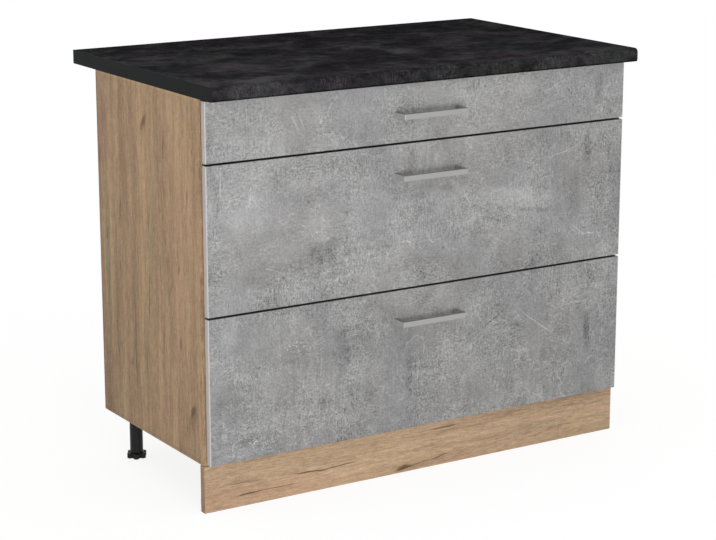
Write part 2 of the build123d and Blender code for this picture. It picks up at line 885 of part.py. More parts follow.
for level_name, level in levels.items():
    z = runner_z(level)
    runner = left_runner(z)
    keep(runner, f"{level_name}_runner_left")
    with BuildPart() as right_runner:
        mirror(runner, about=Plane.YZ)
    keep(right_runner.part, f"{level_name}_runner_right")
    front_pair = roller_pair(front_roller_y, z + front_roller_w, front_roller_out, front_roller_r)
    keep(front_pair, f"{level_name}_front_rollers")
    rear_pair = roller_pair(rear_roller_y, z + rear_roller_w, rear_roller_out, roller_r)
    keep(rear_pair, f"{level_name}_rear_rollers")

    keep(drawer_front(level), f"{level_name}_drawer_front")
    keep(drawer_handle(level), f"{level_name}_drawer_handle")
    keep(drawer_brackets(level), f"{level_name}_drawer_brackets")
    steel_side = left_drawer_side(level)
    keep(steel_side, f"{level_name}_drawer_side_left")
    with BuildPart() as right_side:
        mirror(steel_side, about=Plane.YZ)
    keep(right_side.part, f"{level_name}_drawer_side_right")
    keep(drawer_bottom(level), f"{level_name}_drawer_bottom")
    keep(drawer_back(level), f"{level_name}_drawer_back")
    keep(drawer_screws(level), f"{level_name}_drawer_screws")
    if level["deep"]:
        keep(rail_rods(level), f"{level_name}_drawer_rods")

print(f"drawer travel {drawer_travel:.2f} mm, front roller radius {front_roller_r:.3f} mm")
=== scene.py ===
"""Looks of a base cabinet with three drawers: pieces, finishes, studio light and camera.

Metres throughout. X runs across the front, Y from the front to the wall, Z up from the floor.
"""

import json
import math
from functools import partial

import bmesh
import bpy
from bpy.props import FloatProperty, FloatVectorProperty, PointerProperty
from mathutils import Matrix, Vector

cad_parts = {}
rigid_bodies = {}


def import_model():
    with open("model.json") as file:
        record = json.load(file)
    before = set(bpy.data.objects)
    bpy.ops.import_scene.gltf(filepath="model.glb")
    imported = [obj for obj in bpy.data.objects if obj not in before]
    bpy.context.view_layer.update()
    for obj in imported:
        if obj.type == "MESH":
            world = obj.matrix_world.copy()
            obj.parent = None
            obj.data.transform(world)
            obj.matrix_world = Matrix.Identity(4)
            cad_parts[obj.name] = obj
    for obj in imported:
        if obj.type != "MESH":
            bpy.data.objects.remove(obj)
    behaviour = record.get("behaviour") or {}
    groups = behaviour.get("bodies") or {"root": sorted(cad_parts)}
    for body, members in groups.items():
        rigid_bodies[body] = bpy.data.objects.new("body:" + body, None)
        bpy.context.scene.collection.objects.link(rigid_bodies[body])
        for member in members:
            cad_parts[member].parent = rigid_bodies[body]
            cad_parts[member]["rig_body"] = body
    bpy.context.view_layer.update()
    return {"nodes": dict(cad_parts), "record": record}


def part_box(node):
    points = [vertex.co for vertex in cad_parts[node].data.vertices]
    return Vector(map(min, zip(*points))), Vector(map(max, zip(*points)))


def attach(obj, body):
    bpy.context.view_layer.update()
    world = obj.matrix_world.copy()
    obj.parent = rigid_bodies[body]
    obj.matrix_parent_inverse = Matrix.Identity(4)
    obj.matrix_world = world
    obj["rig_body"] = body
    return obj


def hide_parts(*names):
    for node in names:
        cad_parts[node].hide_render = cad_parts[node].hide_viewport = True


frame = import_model()

bl_info = {
    "name": "Base Cabinet with Drawers",
    "version": (1, 0, 0),
    "blender": (4, 5, 0),
    "location": "View3D > Sidebar > Cabinet",
    "description": "Dresses a three-drawer base cabinet and sets up its studio",
    "category": "Object",
}

LEVELS = ("top", "middle", "bottom")
DEEP_LEVELS = ("middle", "bottom")
SPOTS = ("front_left", "front_right", "rear_left", "rear_right")
FOOT_LOBES = 6


# ------------------------------------------------------------------ sizes and colours
def srgb(red, green, blue):
    """A screen colour, 0 to 255 each, as the linear colour that renders like it."""
    linear = []
    for channel in (red, green, blue):
        value = channel / 255
        linear.append(value / 12.92 if value <= 0.04045 else ((value + 0.055) / 1.055) ** 2.4)
    return tuple(linear)


def length(name, description, default):
    return FloatProperty(
        name=name, description=description, default=default, min=0.0, precision=5, unit="LENGTH"
    )


def turn_by(name, description, degrees):
    return FloatProperty(
        name=name, description=description, default=math.radians(degrees), subtype="ANGLE"
    )


def point(name, description, default):
    return FloatVectorProperty(
        name=name, description=description, default=default, size=3, subtype="TRANSLATION"
    )


def colour(name, description, default):
    return FloatVectorProperty(
        name=name,
        description=description,
        default=default,
        size=3,
        min=0.0,
        max=1.0,
        subtype="COLOR",
    )


class CabinetSizes(bpy.types.PropertyGroup):
    """Small sizes that the looks add to the boards and fittings."""

    nose_upper: length("Upper nose radius", "Rounding above the worktop's front edge", 0.009)
    nose_lower: length("Lower nose radius", "Rounding below the worktop's front edge", 0.005)
    strip_arris: length("Strip arris", "Softening round the strips on the worktop's ends", 0.0002)
    board_arris: length("Board arris", "Softening along the carcase boards' edges", 0.0005)
    front_arris: length("Front arris", "Softening round the drawer fronts", 0.0009)
    handle_corner: length("Handle corner", "Radius of the bow's two outer corners", 0.0015)
    handle_arris: length("Handle arris", "Softening along the bow's other edges", 0.0005)
    handle_bar: length("Handle bar", "Thickness of the bow, front to back", 0.008)
    groove_depth: length("Groove depth", "How far the back panel goes into the side panels", 0.008)
    tube_radius: length("Leg tube radius", "Radius of the plain tube of a leg", 0.0135)
    tube_wall: length("Leg tube wall", "Wall of the tube where the foot screws in", 0.0035)
    flange_thickness: length("Flange thickness", "Plate that screws under the bottom panel", 0.004)
    flange_corner: length("Flange corner", "Corner radius of that plate", 0.010)
    collar_height: length("Collar height", "Cone between the plate and the tube", 0.008)
    collar_radius: length("Collar radius", "Radius of that cone at its foot", 0.016)
    collar_flare: length("Collar flare", "How much wider the cone is at the plate", 0.0011)
    collar_step: length("Collar step", "Height of the step from the cone to the tube", 0.0008)
    leg_arris: length("Leg arris", "Softening of the plate and of the tube's end", 0.0006)
    rib_width: length("Rib width", "Width of the ribs between the plate and the tube", 0.0025)
    rib_inset: length(
        "Rib inset", "From the plate's edge to a rib, and from collar to rib's tip", 0.002
    )
    stem_slack: length("Stem slack", "Room between a foot's stem and its tube", 0.0003)
    foot_height: length("Foot height", "Height of the lobed foot", 0.011)
    foot_core: length("Foot core radius", "Radius of the foot between its lobes", 0.015)
    foot_lobe: length("Foot lobe radius", "Radius of one lobe", 0.006)
    foot_lobe_out: length("Foot lobe distance", "From the foot's middle to a lobe's middle", 0.0155)
    foot_arris: length("Foot arris", "Softening round the foot", 0.0009)
    rod_radius: length("Rod radius", "Radius of the deep drawers' rods", 0.005)
    ferrule_length: length("Ferrule length", "Length of the ferrule at each end of a rod", 0.008)
    ferrule_arris: length("Ferrule arris", "Softening of the ferrules' rims", 0.0008)
    roller_width: length("Roller width", "Width of a roller", 0.0085)
    roller_bore: length("Roller bore", "Radius of a roller's bore", 0.00255)
    roller_hub: length("Roller hub", "Radius of the raised hub round the bore", 0.005)
    roller_rim: length("Roller rim", "Width of the raised rim of a roller's side", 0.002)
    roller_dip: length("Roller dip", "Depth of the groove between hub and rim", 0.001)
    roller_arris: length("Roller arris", "Softening of a roller's running edge", 0.0004)


class CabinetColours(bpy.types.PropertyGroup):
    """Colours of the finishes."""

    concrete: colour("Concrete", "Middle grey of the drawer fronts", srgb(149, 149, 148))
    concrete_cool: colour("Concrete, cool", "Lilac cast of some clouds", srgb(149, 149, 150))
    concrete_warm: colour("Concrete, warm", "Brown cast of other clouds", srgb(150, 149, 148))
    front_edge: colour("Front edging", "Edge bands of the drawer fronts", srgb(209, 199, 193))
    # painted highlight along the arris of the fronts' edge bands
    front_arris: colour("Front arris", "Whiter line where band and face meet", srgb(242, 239, 244))
    # painted shade: the fronts' upper and lower edges, darker than their decor
    front_rim: colour(
        "Front rim", "Shaded upper and lower edges of the drawer fronts", srgb(104, 104, 103)
    )
    oak: colour("Oak", "Middle tone of the oak decor", srgb(180, 148, 115))
    oak_light: colour("Oak, light", "Yellow early wood", srgb(190, 159, 125))
    oak_pale: colour("Oak, pale", "Tone mixed into the plinth's decor", srgb(186, 160, 134))
    oak_dark: colour("Oak, dark", "Brown pores and cracks", srgb(116, 84, 54))
    oak_pink: colour("Oak, pink", "Rosy bands", srgb(178, 142, 116))
    oak_olive: colour("Oak, olive", "Greenish grey bands", srgb(156, 140, 108))
    slate: colour("Slate", "Ground of the worktop's laminate", srgb(34, 33, 36))
    slate_light: colour("Slate, light", "Purple-brown clouds of the laminate", srgb(89, 83, 88))
    slate_green: colour("Slate, green", "Green-grey clouds of the laminate", srgb(83, 84, 84))
    edging: colour("Worktop edging", "Strips on the worktop's cut ends", srgb(36, 38, 38))
    steel: colour("Handle steel", "Brushed steel of the handles", srgb(164, 164, 163))
    # painted shade: the bows' upper and lower faces, darker than their steel
    steel_edge: colour(
        "Handle steel, edges", "Darker long edges of the handles", srgb(134, 134, 133)
    )
    # painted light: the legs' outer faces, paler than the steel
    steel_side: colour(
        "Handle steel, sides", "Paler outer faces of the handles' legs", srgb(198, 198, 197)
    )
    black: colour("Black plastic", "Legs, feet and clips", srgb(16, 16, 17))
    coated: colour("Coated steel", "Runners and drawer sides", srgb(212, 213, 214))
    roller: colour("Roller", "Nylon rollers", srgb(226, 226, 220))
    melamine: colour("Melamine", "Drawer bottoms and backs", srgb(236, 236, 234))
    hardboard: colour("Hardboard", "Rear of the back panel", srgb(150, 112, 78))
    chipboard: colour("Chipboard", "Raw edges of the boards", srgb(186, 158, 118))
    zinc: colour("Zinc", "Screws and cam fittings", srgb(190, 192, 194))
    silicone: colour("Silicone", "Soft bumpers behind the fronts", srgb(222, 224, 226))


class CabinetStudio(bpy.types.PropertyGroup):
    """Floor, light and camera."""

    floor_size: length("Floor size", "From the floor's middle to its edge", 15.0)
    floor_lit: colour("Floor", "Its colour for the light that it throws back", (0.8, 0.8, 0.8))
    floor_shaded: colour("Seen floor", "The part that shadows darken", (0.22, 0.22, 0.22))
    floor_glow: colour("Floor's glow", "The part that no shadow darkens", (0.86, 0.86, 0.86))
    sky: FloatProperty(name="Sky", description="Light from all round", default=0.65, min=0.0)
    lamp: FloatProperty(
        name="Lamp", description="Soft lamp in front", default=36.0, min=0.0, unit="POWER"
    )
    lamp_size: length("Lamp size", "Width of the lamp's disc", 0.9)
    lamp_place: point(
        "Lamp place", "Low, so that the handles' shadows lie above them", (-0.9, -3.2, 0.42)
    )
    lamp_target: point("Lamp target", "What the lamp points at", (0.0, -0.26, 0.45))
    lens: length("Lens", "Focal length", 0.10569)
    sensor: length("Sensor", "Width of the camera's sensor", 0.036)
    camera_place: point("Camera place", "Where the camera stands", (-2.2957, -3.6608, 1.4352))
    heading: turn_by("Heading", "Camera's turn from the front", 32.141)
    tilt: turn_by("Tilt", "Camera's tilt down", 13.833)


# ------------------------------------------------------------------ nodes written as expressions
def both_ways(operation):
    """An operator's method and its reflected form."""
    return (
        lambda self, other: self.maths(operation, self, other),
        lambda self, other: self.maths(operation, other, self),
    )


class Wire:
    """An output socket. Arithmetic on wires and numbers adds Math nodes."""

    def __init__(self, nodes, socket):
        self.nodes = nodes
        self.socket = socket

    def maths(self, operation, *values):
        return self.nodes.node("ShaderNodeMath", {"operation": operation}, dict(enumerate(values)))

    __add__, __radd__ = both_ways("ADD")
    __sub__, __rsub__ = both_ways("SUBTRACT")
    __mul__, __rmul__ = both_ways("MULTIPLY")

    def __abs__(self):
        return self.maths("ABSOLUTE", self)

    def most(self, other):
        return self.maths("MAXIMUM", self, other)

    def least(self, other):
        return self.maths("MINIMUM", self, other)


class Nodes:
    """Adds nodes to one tree."""

    def __init__(self, tree):
        self.tree = tree

    def node(self, kind, settings=None, sockets=None, result=0):
        """One node: its settings first, then its sockets' values or wires; gives one output."""
        node = self.tree.nodes.new(kind)
        for key, value in (settings or {}).items():
            setattr(node, key, value)
        for key, value in (sockets or {}).items():
            self.feed(node.inputs[key], value)
        return Wire(self, node.outputs[result]) if node.outputs else None

    def feed(self, socket, value):
        """Links a wire to a socket, or sets the socket's own value."""
        if isinstance(value, Wire):
            self.tree.links.new(value.socket, socket)
        elif socket.type == "RGBA" and len(value) == 3:
            socket.default_value = (*value, 1.0)
        else:
            socket.default_value = value

    def split(self, vector):
        """A vector's three parts."""
        first = self.node("ShaderNodeSeparateXYZ", {}, {0: vector})
        return [Wire(self, output) for output in first.socket.node.outputs]

    def join(self, x, y, z):
        return self.node("ShaderNodeCombineXYZ", {}, {0: x, 1: y, 2: z})

    def vectors(self, operation, *values, result=0):
        """Vector maths on wires and triples."""
        inputs = dict(enumerate(values))
        return self.node("ShaderNodeVectorMath", {"operation": operation}, inputs, result)

    def scaled(self, vector, factor):
        """A colour or vector times a number."""
        inputs = {0: vector, "Scale": factor}
        return self.node("ShaderNodeVectorMath", {"operation": "SCALE"}, inputs)

    def mix(self, factor, first, second):
        """From the first colour to the second as factor goes from 0 to 1."""
        inputs = {0: factor, 6: first, 7: second}
        return self.node("ShaderNodeMix", {"data_type": "RGBA"}, inputs, 2)

    def ease(self, value, low, high):
        """0 up to low, 1 from high, smooth between; low may be above high."""
        return self.node(
            "ShaderNodeMapRange",
            {"interpolation_type": "SMOOTHSTEP"},
            {"Value": value, "From Min": low, "From Max": high},
        )

    def noise(self, where, scale=1.0, detail=3.0, roughness=0.55, distortion=0.0, result=0):
        """Cloudy noise round 0.5."""
        shape = {"Scale": scale, "Detail": detail, "Roughness": roughness, "Distortion": distortion}
        return self.node("ShaderNodeTexNoise", {}, {"Vector": where, **shape}, result)

    def ripple(self, where, *shape):
        """Cloudy noise round 0."""
        return self.noise(where, *shape) - 0.5

    def islands(self, low, high, where, *shape):
        """1 where cloudy noise is above high, 0 where it is below low."""
        return self.ease(self.noise(where, *shape), low, high)

    def placed(self, where, place=(0, 0, 0), size=(1, 1, 1), turn=(0, 0, 0)):
        """Coordinates measured from a place, along turned axes, in units of size."""
        return self.node(
            "ShaderNodeMapping",
            {"vector_type": "TEXTURE"},
            {"Vector": where, "Location": place, "Rotation": turn, "Scale": size},
        )

    def shaken(self, where, scale, reach, detail=2.0):
        """Coordinates pushed about by noise, up to about reach."""
        cloud = self.noise(where, scale, detail, 0.5, result="Color")
        push = self.scaled(self.vectors("SUBTRACT", cloud, (0.5, 0.5, 0.5)), reach * 2)
        return self.vectors("ADD", where, push)

    def patch(self, where, place, size, turn=(0, 0, 0), core=0.3):
        """1 inside a soft oval, 0 outside it."""
        away = self.vectors("LENGTH", self.placed(where, place, size, turn), result="Value")
        return self.ease(away, 1.0, core)


class Finish(Nodes):
    """One material: a Principled surface whose changing parts are fed by nodes."""

    def __init__(self, name, **constants):
        self.material = bpy.data.materials.new(name)
        self.material.use_nodes = True
        super().__init__(self.material.node_tree)
        self.tree.nodes.clear()
        self.surface = self.tree.nodes.new("ShaderNodeBsdfPrincipled")
        output = self.tree.nodes.new("ShaderNodeOutputMaterial")
        self.tree.links.new(self.surface.outputs[0], output.inputs[0])
        for key, value in constants.items():
            self.surface.inputs[key.replace("_", " ")].default_value = value
        self.place = self.node("ShaderNodeTexCoord", {}, {}, "Object")

    def give(self, socket, value):
        self.feed(self.surface.inputs[socket], value)

    def raise_by(self, height, distance, strength=1.0):
        """Bumps of that height, in metres where height is 1."""
        bump = self.node(
            "ShaderNodeBump", {}, {"Strength": strength, "Distance": distance, "Height": height}
        )
        self.give("Normal", bump)


# ------------------------------------------------------------------ finishes
FLAT = 1000.0  # a size along an axis that a flat pattern ignores
HEAD_MAP = "head"  # the screws' UV map
OFF_THE_RECESS = (9.0, 9.0)  # where that map puts all that isn't the top of a head, in millimetres
# (share of the radius, share of the height) along a screw's head
SCREW_HEAD = ((0.0, 0.0), (0.72, 0.0), (0.93, 0.20), (1.0, 0.60), (1.0, 1.0))
RECESS_REACH = 0.15  # share of the height down to which the recess is drawn


def streaks(nodes, marks, flat_axis, where):
    """Soft ovals at chosen places: (u, v, long, short, degrees, strength), added up."""
    total = 0.0
    for u, v, along, across, degrees, strength in marks:
        slant = math.radians(degrees)
        if flat_axis == "Y":
            oval = nodes.patch(where, (u, 0, v), (along, FLAT, across), (0, -slant, 0))
        elif flat_axis == "X":
            oval = nodes.patch(where, (0, u, v), (FLAT, along, across), (-slant, 0, 0))
        else:
            oval = nodes.patch(where, (u, v, 0), (along, across, FLAT), (0, 0, slant))
        total = oval * strength + total
    return total


# (x, z, half length, half width, degrees from level, strength): lighter is positive
FRONT_CLOUDS = (
    (-0.487, 0.738, 0.030, 0.012, 90, -0.10),
    (0.115, 0.791, 0.040, 0.012, 35, -0.12),
    (0.427, 0.759, 0.045, 0.013, 90, -0.18),
    (-0.250, 0.760, 0.090, 0.030, 5, 0.07),
    (-0.030, 0.735, 0.035, 0.012, 90, -0.08),
    (-0.035, 0.655, 0.036, 0.012, 90, -0.13),
    (-0.479, 0.623, 0.050, 0.011, 90, -0.15),
    (-0.255, 0.560, 0.060, 0.040, 60, 0.11),
    (-0.400, 0.600, 0.100, 0.060, 80, 0.09),
    (-0.235, 0.487, 0.080, 0.038, 4, -0.09),
    (-0.340, 0.505, 0.070, 0.034, 0, 0.10),
    (-0.300, 0.425, 0.120, 0.020, 0, 0.06),
    (0.047, 0.591, 0.022, 0.014, 0, -0.10),
    (0.040, 0.570, 0.060, 0.040, 0, 0.08),
    (0.060, 0.545, 0.060, 0.030, -10, 0.07),
    (0.200, 0.556, 0.170, 0.030, -7, 0.13),
    (0.080, 0.590, 0.050, 0.010, -40, 0.10),
    (0.100, 0.520, 0.050, 0.012, 20, 0.10),
    (0.270, 0.520, 0.060, 0.009, -6, -0.15),
    (0.190, 0.505, 0.070, 0.010, -12, -0.08),
    (-0.070, 0.520, 0.100, 0.018, 4, -0.06),
    (0.130, 0.478, 0.045, 0.034, 0, -0.09),
    (0.403, 0.637, 0.056, 0.015, 90, -0.20),
    (0.280, 0.640, 0.050, 0.030, 0, 0.08),
    (0.340, 0.470, 0.060, 0.024, 0, 0.05),
    (-0.410, 0.140, 0.040, 0.014, 5, -0.14),
    (-0.440, 0.120, 0.080, 0.022, 0, 0.12),
    (-0.450, 0.355, 0.050, 0.024, 70, 0.10),
    (-0.200, 0.303, 0.090, 0.050, 20, -0.07),
    (-0.300, 0.330, 0.070, 0.020, 30, 0.06),
    (-0.190, 0.190, 0.024, 0.018, 0, 0.14),
    (-0.115, 0.320, 0.030, 0.016, 0, 0.10),
    (-0.037, 0.215, 0.060, 0.013, 90, -0.15),
    (-0.498, 0.276, 0.060, 0.010, 90, -0.12),
    (0.330, 0.180, 0.110, 0.060, 70, -0.06),
    (0.412, 0.235, 0.064, 0.014, 90, -0.20),
    (0.240, 0.220, 0.022, 0.016, 0, 0.12),
    (0.110, 0.215, 0.070, 0.036, 0, -0.07),
    (0.400, 0.360, 0.050, 0.030, 0, -0.07),
    (0.150, 0.340, 0.060, 0.020, 0, 0.05),
    (0.448, 0.330, 0.030, 0.024, 0, 0.09),
)
FRONT_SCRATCHES = (
    (-0.465, 0.651, 0.040, 0.0013, 88, 0.30),
    (-0.449, 0.610, 0.018, 0.0013, 60, 0.30),
    (-0.350, 0.470, 0.030, 0.0013, -20, 0.20),
    (0.310, 0.771, 0.034, 0.0014, 24, 0.30),
    (0.335, 0.632, 0.056, 0.0014, 13, 0.28),
    (0.100, 0.560, 0.040, 0.0014, -62, 0.24),
    (0.384, 0.464, 0.028, 0.0013, -35, 0.26),
    (0.410, 0.452, 0.026, 0.0014, 0, 0.30),
    (0.444, 0.440, 0.026, 0.0013, -55, 0.26),
    (0.155, 0.292, 0.056, 0.0014, 32, -0.26),
    (0.165, 0.301, 0.056, 0.0012, 32, 0.20),
    (0.270, 0.285, 0.075, 0.0014, -37, 0.30),
    (0.300, 0.262, 0.042, 0.0014, -28, 0.24),
    (0.384, 0.306, 0.060, 0.0013, 2, 0.22),
    (0.424, 0.246, 0.040, 0.0013, 88, 0.30),
    (-0.018, 0.205, 0.050, 0.0013, 88, 0.26),
    (-0.012, 0.160, 0.030, 0.0013, 70, 0.22),
    (-0.246, 0.262, 0.030, 0.0013, 86, 0.24),
    (-0.449, 0.214, 0.020, 0.0013, 90, 0.26),
    (-0.466, 0.180, 0.026, 0.0013, 84, 0.26),
    (0.222, 0.735, 0.012, 0.0014, -50, 0.28),
)
# (x size, z size, turn, scale of the mask) of the noises whose middle values show as hairlines
HAIRLINES = ((0.13, 0.05, 0.5, 13.0), (0.05, 0.16, -0.35, 11.0), (0.10, 0.06, 1.2, 16.0))
# (x, z, half width, half height) of clusters of white specks
FRONT_SPECKS = (
    (-0.429, 0.785, 0.030, 0.020),
    (0.230, 0.725, 0.040, 0.024),
    (-0.260, 0.540, 0.060, 0.030),
    (-0.330, 0.440, 0.080, 0.024),
    (0.050, 0.610, 0.034, 0.020),
    (0.250, 0.225, 0.034, 0.026),
    (-0.290, 0.310, 0.070, 0.030),
    (-0.420, 0.130, 0.070, 0.030),
    (0.190, 0.350, 0.050, 0.024),
)


def concrete_finish(name, colours):
    """Cast-concrete decor: cloudy, sandy, with smears, hairline scratches, white specks and painted
    light.
    """
    made = Finish(name, Specular_IOR_Level=0.22)
    where = made.place
    bent = made.shaken(where, 9.0, 0.02)
    broad = made.ripple(bent, 4.2, 3.0, 0.5)
    clouds = made.ripple(bent, 17.0, 5.0, 0.62, 0.4)
    blots = made.ripple(where, 66.0, 4.0, 0.65, 0.5)
    sand = made.ripple(where, 190.0, 3.0, 0.7)
    dust = made.ripple(where, 480.0, 2.0, 0.6)
    smears = made.ripple(made.placed(bent, size=(0.014, FLAT, 0.15)), 1.0, 4.0, 0.65)
    smear_mask = made.islands(0.46, 0.60, bent, 5.5, 2.0, 0.5)
    wipes = made.ripple(made.placed(bent, size=(0.16, FLAT, 0.012)), 1.0, 4.0, 0.65)
    wipe_mask = made.islands(0.50, 0.64, where, 7.5, 2.0, 0.5)
    level_hatch = made.ripple(made.placed(where, size=(0.016, FLAT, 0.0030)), 1.0, 2.0, 0.6)
    upright_hatch = made.ripple(made.placed(where, size=(0.0036, FLAT, 0.020)), 1.0, 2.0, 0.6)
    level_share = made.islands(0.44, 0.58, where, 10.0, 2.0)
    hatch = level_hatch * level_share + upright_hatch * (1.0 - level_share)
    scars = streaks(made, FRONT_CLOUDS, "Y", made.shaken(where, 24.0, 0.016, 4.0))
    nicks = streaks(made, FRONT_SCRATCHES, "Y", made.shaken(where, 40.0, 0.003, 2.0))
    hairlines = 0.0
    for wide, tall, slant, mask_scale in HAIRLINES:
        field = made.placed(where, size=(wide, FLAT, tall), turn=(0, slant, 0))
        middle = made.ease(abs(made.ripple(field, 1.0, 2.0, 0.4, 1.2)), 0.009, 0.0)
        shown = made.islands(0.50, 0.62, made.placed(where, (slant, 0, 0)), mask_scale, 1.0)
        hairlines = middle * shown + hairlines
    clusters = made.islands(0.58, 0.68, where, 12.0, 2.0) * 0.7
    for x, z, wide, tall in FRONT_SPECKS:
        clusters = made.patch(bent, (x, 0, z), (wide, FLAT, tall)) + clusters
    specks = made.islands(0.60, 0.70, where, 250.0, 1.0, 0.4) * clusters
    flecks = made.islands(0.55, 0.64, where, 150.0, 4.0, 0.75)
    pits = made.islands(0.56, 0.65, made.placed(where, (0.3, 0, 0)), 150.0, 4.0, 0.75)
    rough = 0.55 + made.islands(0.38, 0.62, bent, 8.0, 3.0) * 0.85
    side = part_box("top_drawer_front")[1].x
    x, _, z = made.split(where)
    level = (
        1.0
        + broad * 0.70
        + clouds * 0.66
        + (blots * 0.46 + sand * 1.30 + dust * 1.10 + hatch * 0.80) * rough
        + smears * smear_mask * 0.60
        + wipes * wipe_mask * 0.75
        + scars * 1.45
        + nicks * 1.7
        + hairlines * 0.36
        + specks * 0.60
        + flecks * 0.18
        - pits * 0.18
        # painted light: a highlight along the side arrises, darker to the right, lighter towards
        # the top, and lighter still under the worktop where its shade falls
        + made.ease(abs(x), side - 0.0035, side - 0.0005) * 0.22
        - x * 0.06
        + (z - 0.45) * 0.28
        + made.ease(z, 0.74, 0.81) * 0.10
    )
    warmth = made.islands(0.40, 0.60, bent, 5.0, 2.0)
    tint = made.mix(warmth, colours.concrete_cool, colours.concrete_warm)
    tint = made.mix(made.islands(0.40, 0.62, where, 8.0, 2.0) * 0.7, tint, colours.concrete)
    made.give("Base Color", made.scaled(tint, level))
    made.give("Roughness", 0.58 + blots * 0.25)
    made.raise_by(sand * 0.5 + blots - hairlines * 0.4, 0.00016, 0.5)
    return made.material


def front_edge_finish(name, colours):
    """Pale edge band of the drawer fronts, with a painted highlight, whiter and cooler, along the
    arris.
    """
    made = Finish(name, Specular_IOR_Level=0.4)
    cloud = made.ripple(made.place, 70.0, 3.0)
    sand = made.ripple(made.place, 420.0, 1.0)
    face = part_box("top_drawer_front")[0].y
    # painted highlight: whiter near the front face
    arris = made.ease(made.split(made.place)[1], face + 0.0032, face + 0.0008)
    tint = made.mix(arris, colours.front_edge, colours.front_arris)
    made.give("Base Color", made.scaled(tint, 1.0 + cloud * 0.22 + sand * 0.14))
    made.give("Roughness", 0.42 + cloud * 0.2)
    return made.material


# the same on the side panels, with y for x, and on the plinth: darker is negative
SIDE_MARKS = (
    (-0.017, 0.738, 0.028, 0.010, 50, -0.20),
    (-0.010, 0.725, 0.050, 0.016, 60, -0.13),
    (-0.205, 0.198, 0.024, 0.011, 52, -0.19),
    (-0.200, 0.180, 0.060, 0.018, 62, -0.15),
    (-0.030, 0.548, 0.040, 0.004, 88, -0.20),
    (-0.026, 0.400, 0.070, 0.004, 86, -0.28),
    (-0.020, 0.330, 0.060, 0.005, 84, -0.14),
    (0.040, 0.270, 0.150, 0.0034, 89, -0.30),
    (-0.100, 0.705, 0.055, 0.005, 86, -0.24),
    (-0.112, 0.690, 0.030, 0.006, 80, -0.12),
    (-0.195, 0.615, 0.034, 0.004, 87, -0.26),
    (-0.205, 0.560, 0.070, 0.004, 89, -0.12),
    (-0.110, 0.455, 0.070, 0.008, 88, -0.18),
    (-0.118, 0.420, 0.026, 0.004, 70, -0.18),
    (-0.155, 0.470, 0.014, 0.006, 80, -0.26),
    (-0.160, 0.322, 0.022, 0.006, 86, -0.22),
    (-0.010, 0.250, 0.050, 0.005, 85, -0.18),
    (-0.105, 0.180, 0.050, 0.004, 88, -0.20),
    (0.060, 0.232, 0.014, 0.006, 80, -0.24),
    (0.098, 0.540, 0.050, 0.007, 88, -0.18),
    (0.160, 0.480, 0.018, 0.007, 86, -0.20),
    (0.165, 0.330, 0.040, 0.008, 80, -0.12),
    (0.185, 0.640, 0.030, 0.005, 90, -0.20),
    (-0.052, 0.530, 0.010, 0.004, 60, -0.18),
    (0.070, 0.450, 0.100, 0.014, 90, 0.09),
    (-0.060, 0.600, 0.120, 0.018, 90, 0.07),
    (-0.160, 0.700, 0.090, 0.022, 90, 0.06),
    (0.000, 0.420, 0.100, 0.010, 90, 0.08),
    (-0.140, 0.540, 0.080, 0.010, 90, 0.08),
)
PLINTH_MARKS = (
    (-0.262, 0.0425, 0.062, 0.0024, -3, -0.44),
    (-0.190, 0.0425, 0.060, 0.0020, 3, -0.40),
    (-0.400, 0.0240, 0.048, 0.0022, 2, -0.46),
    (-0.335, 0.0245, 0.050, 0.0018, -1, -0.30),
    (-0.040, 0.010, 0.026, 0.0080, 8, -0.34),
    (-0.010, 0.012, 0.060, 0.0034, 6, -0.26),
    (0.050, 0.018, 0.034, 0.0030, 12, -0.26),
    (0.060, 0.080, 0.060, 0.0030, 1, -0.34),
    (0.000, 0.046, 0.045, 0.0018, 3, -0.12),
    (0.345, 0.030, 0.050, 0.0060, 4, -0.20),
    (0.300, 0.022, 0.034, 0.0024, 6, -0.22),
    (0.362, 0.062, 0.024, 0.0018, 3, -0.16),
    (0.440, 0.050, 0.040, 0.0020, 3, -0.12),
    (0.160, 0.050, 0.120, 0.0140, 0, 0.06),
    (-0.120, 0.070, 0.160, 0.0100, 2, 0.06),
)


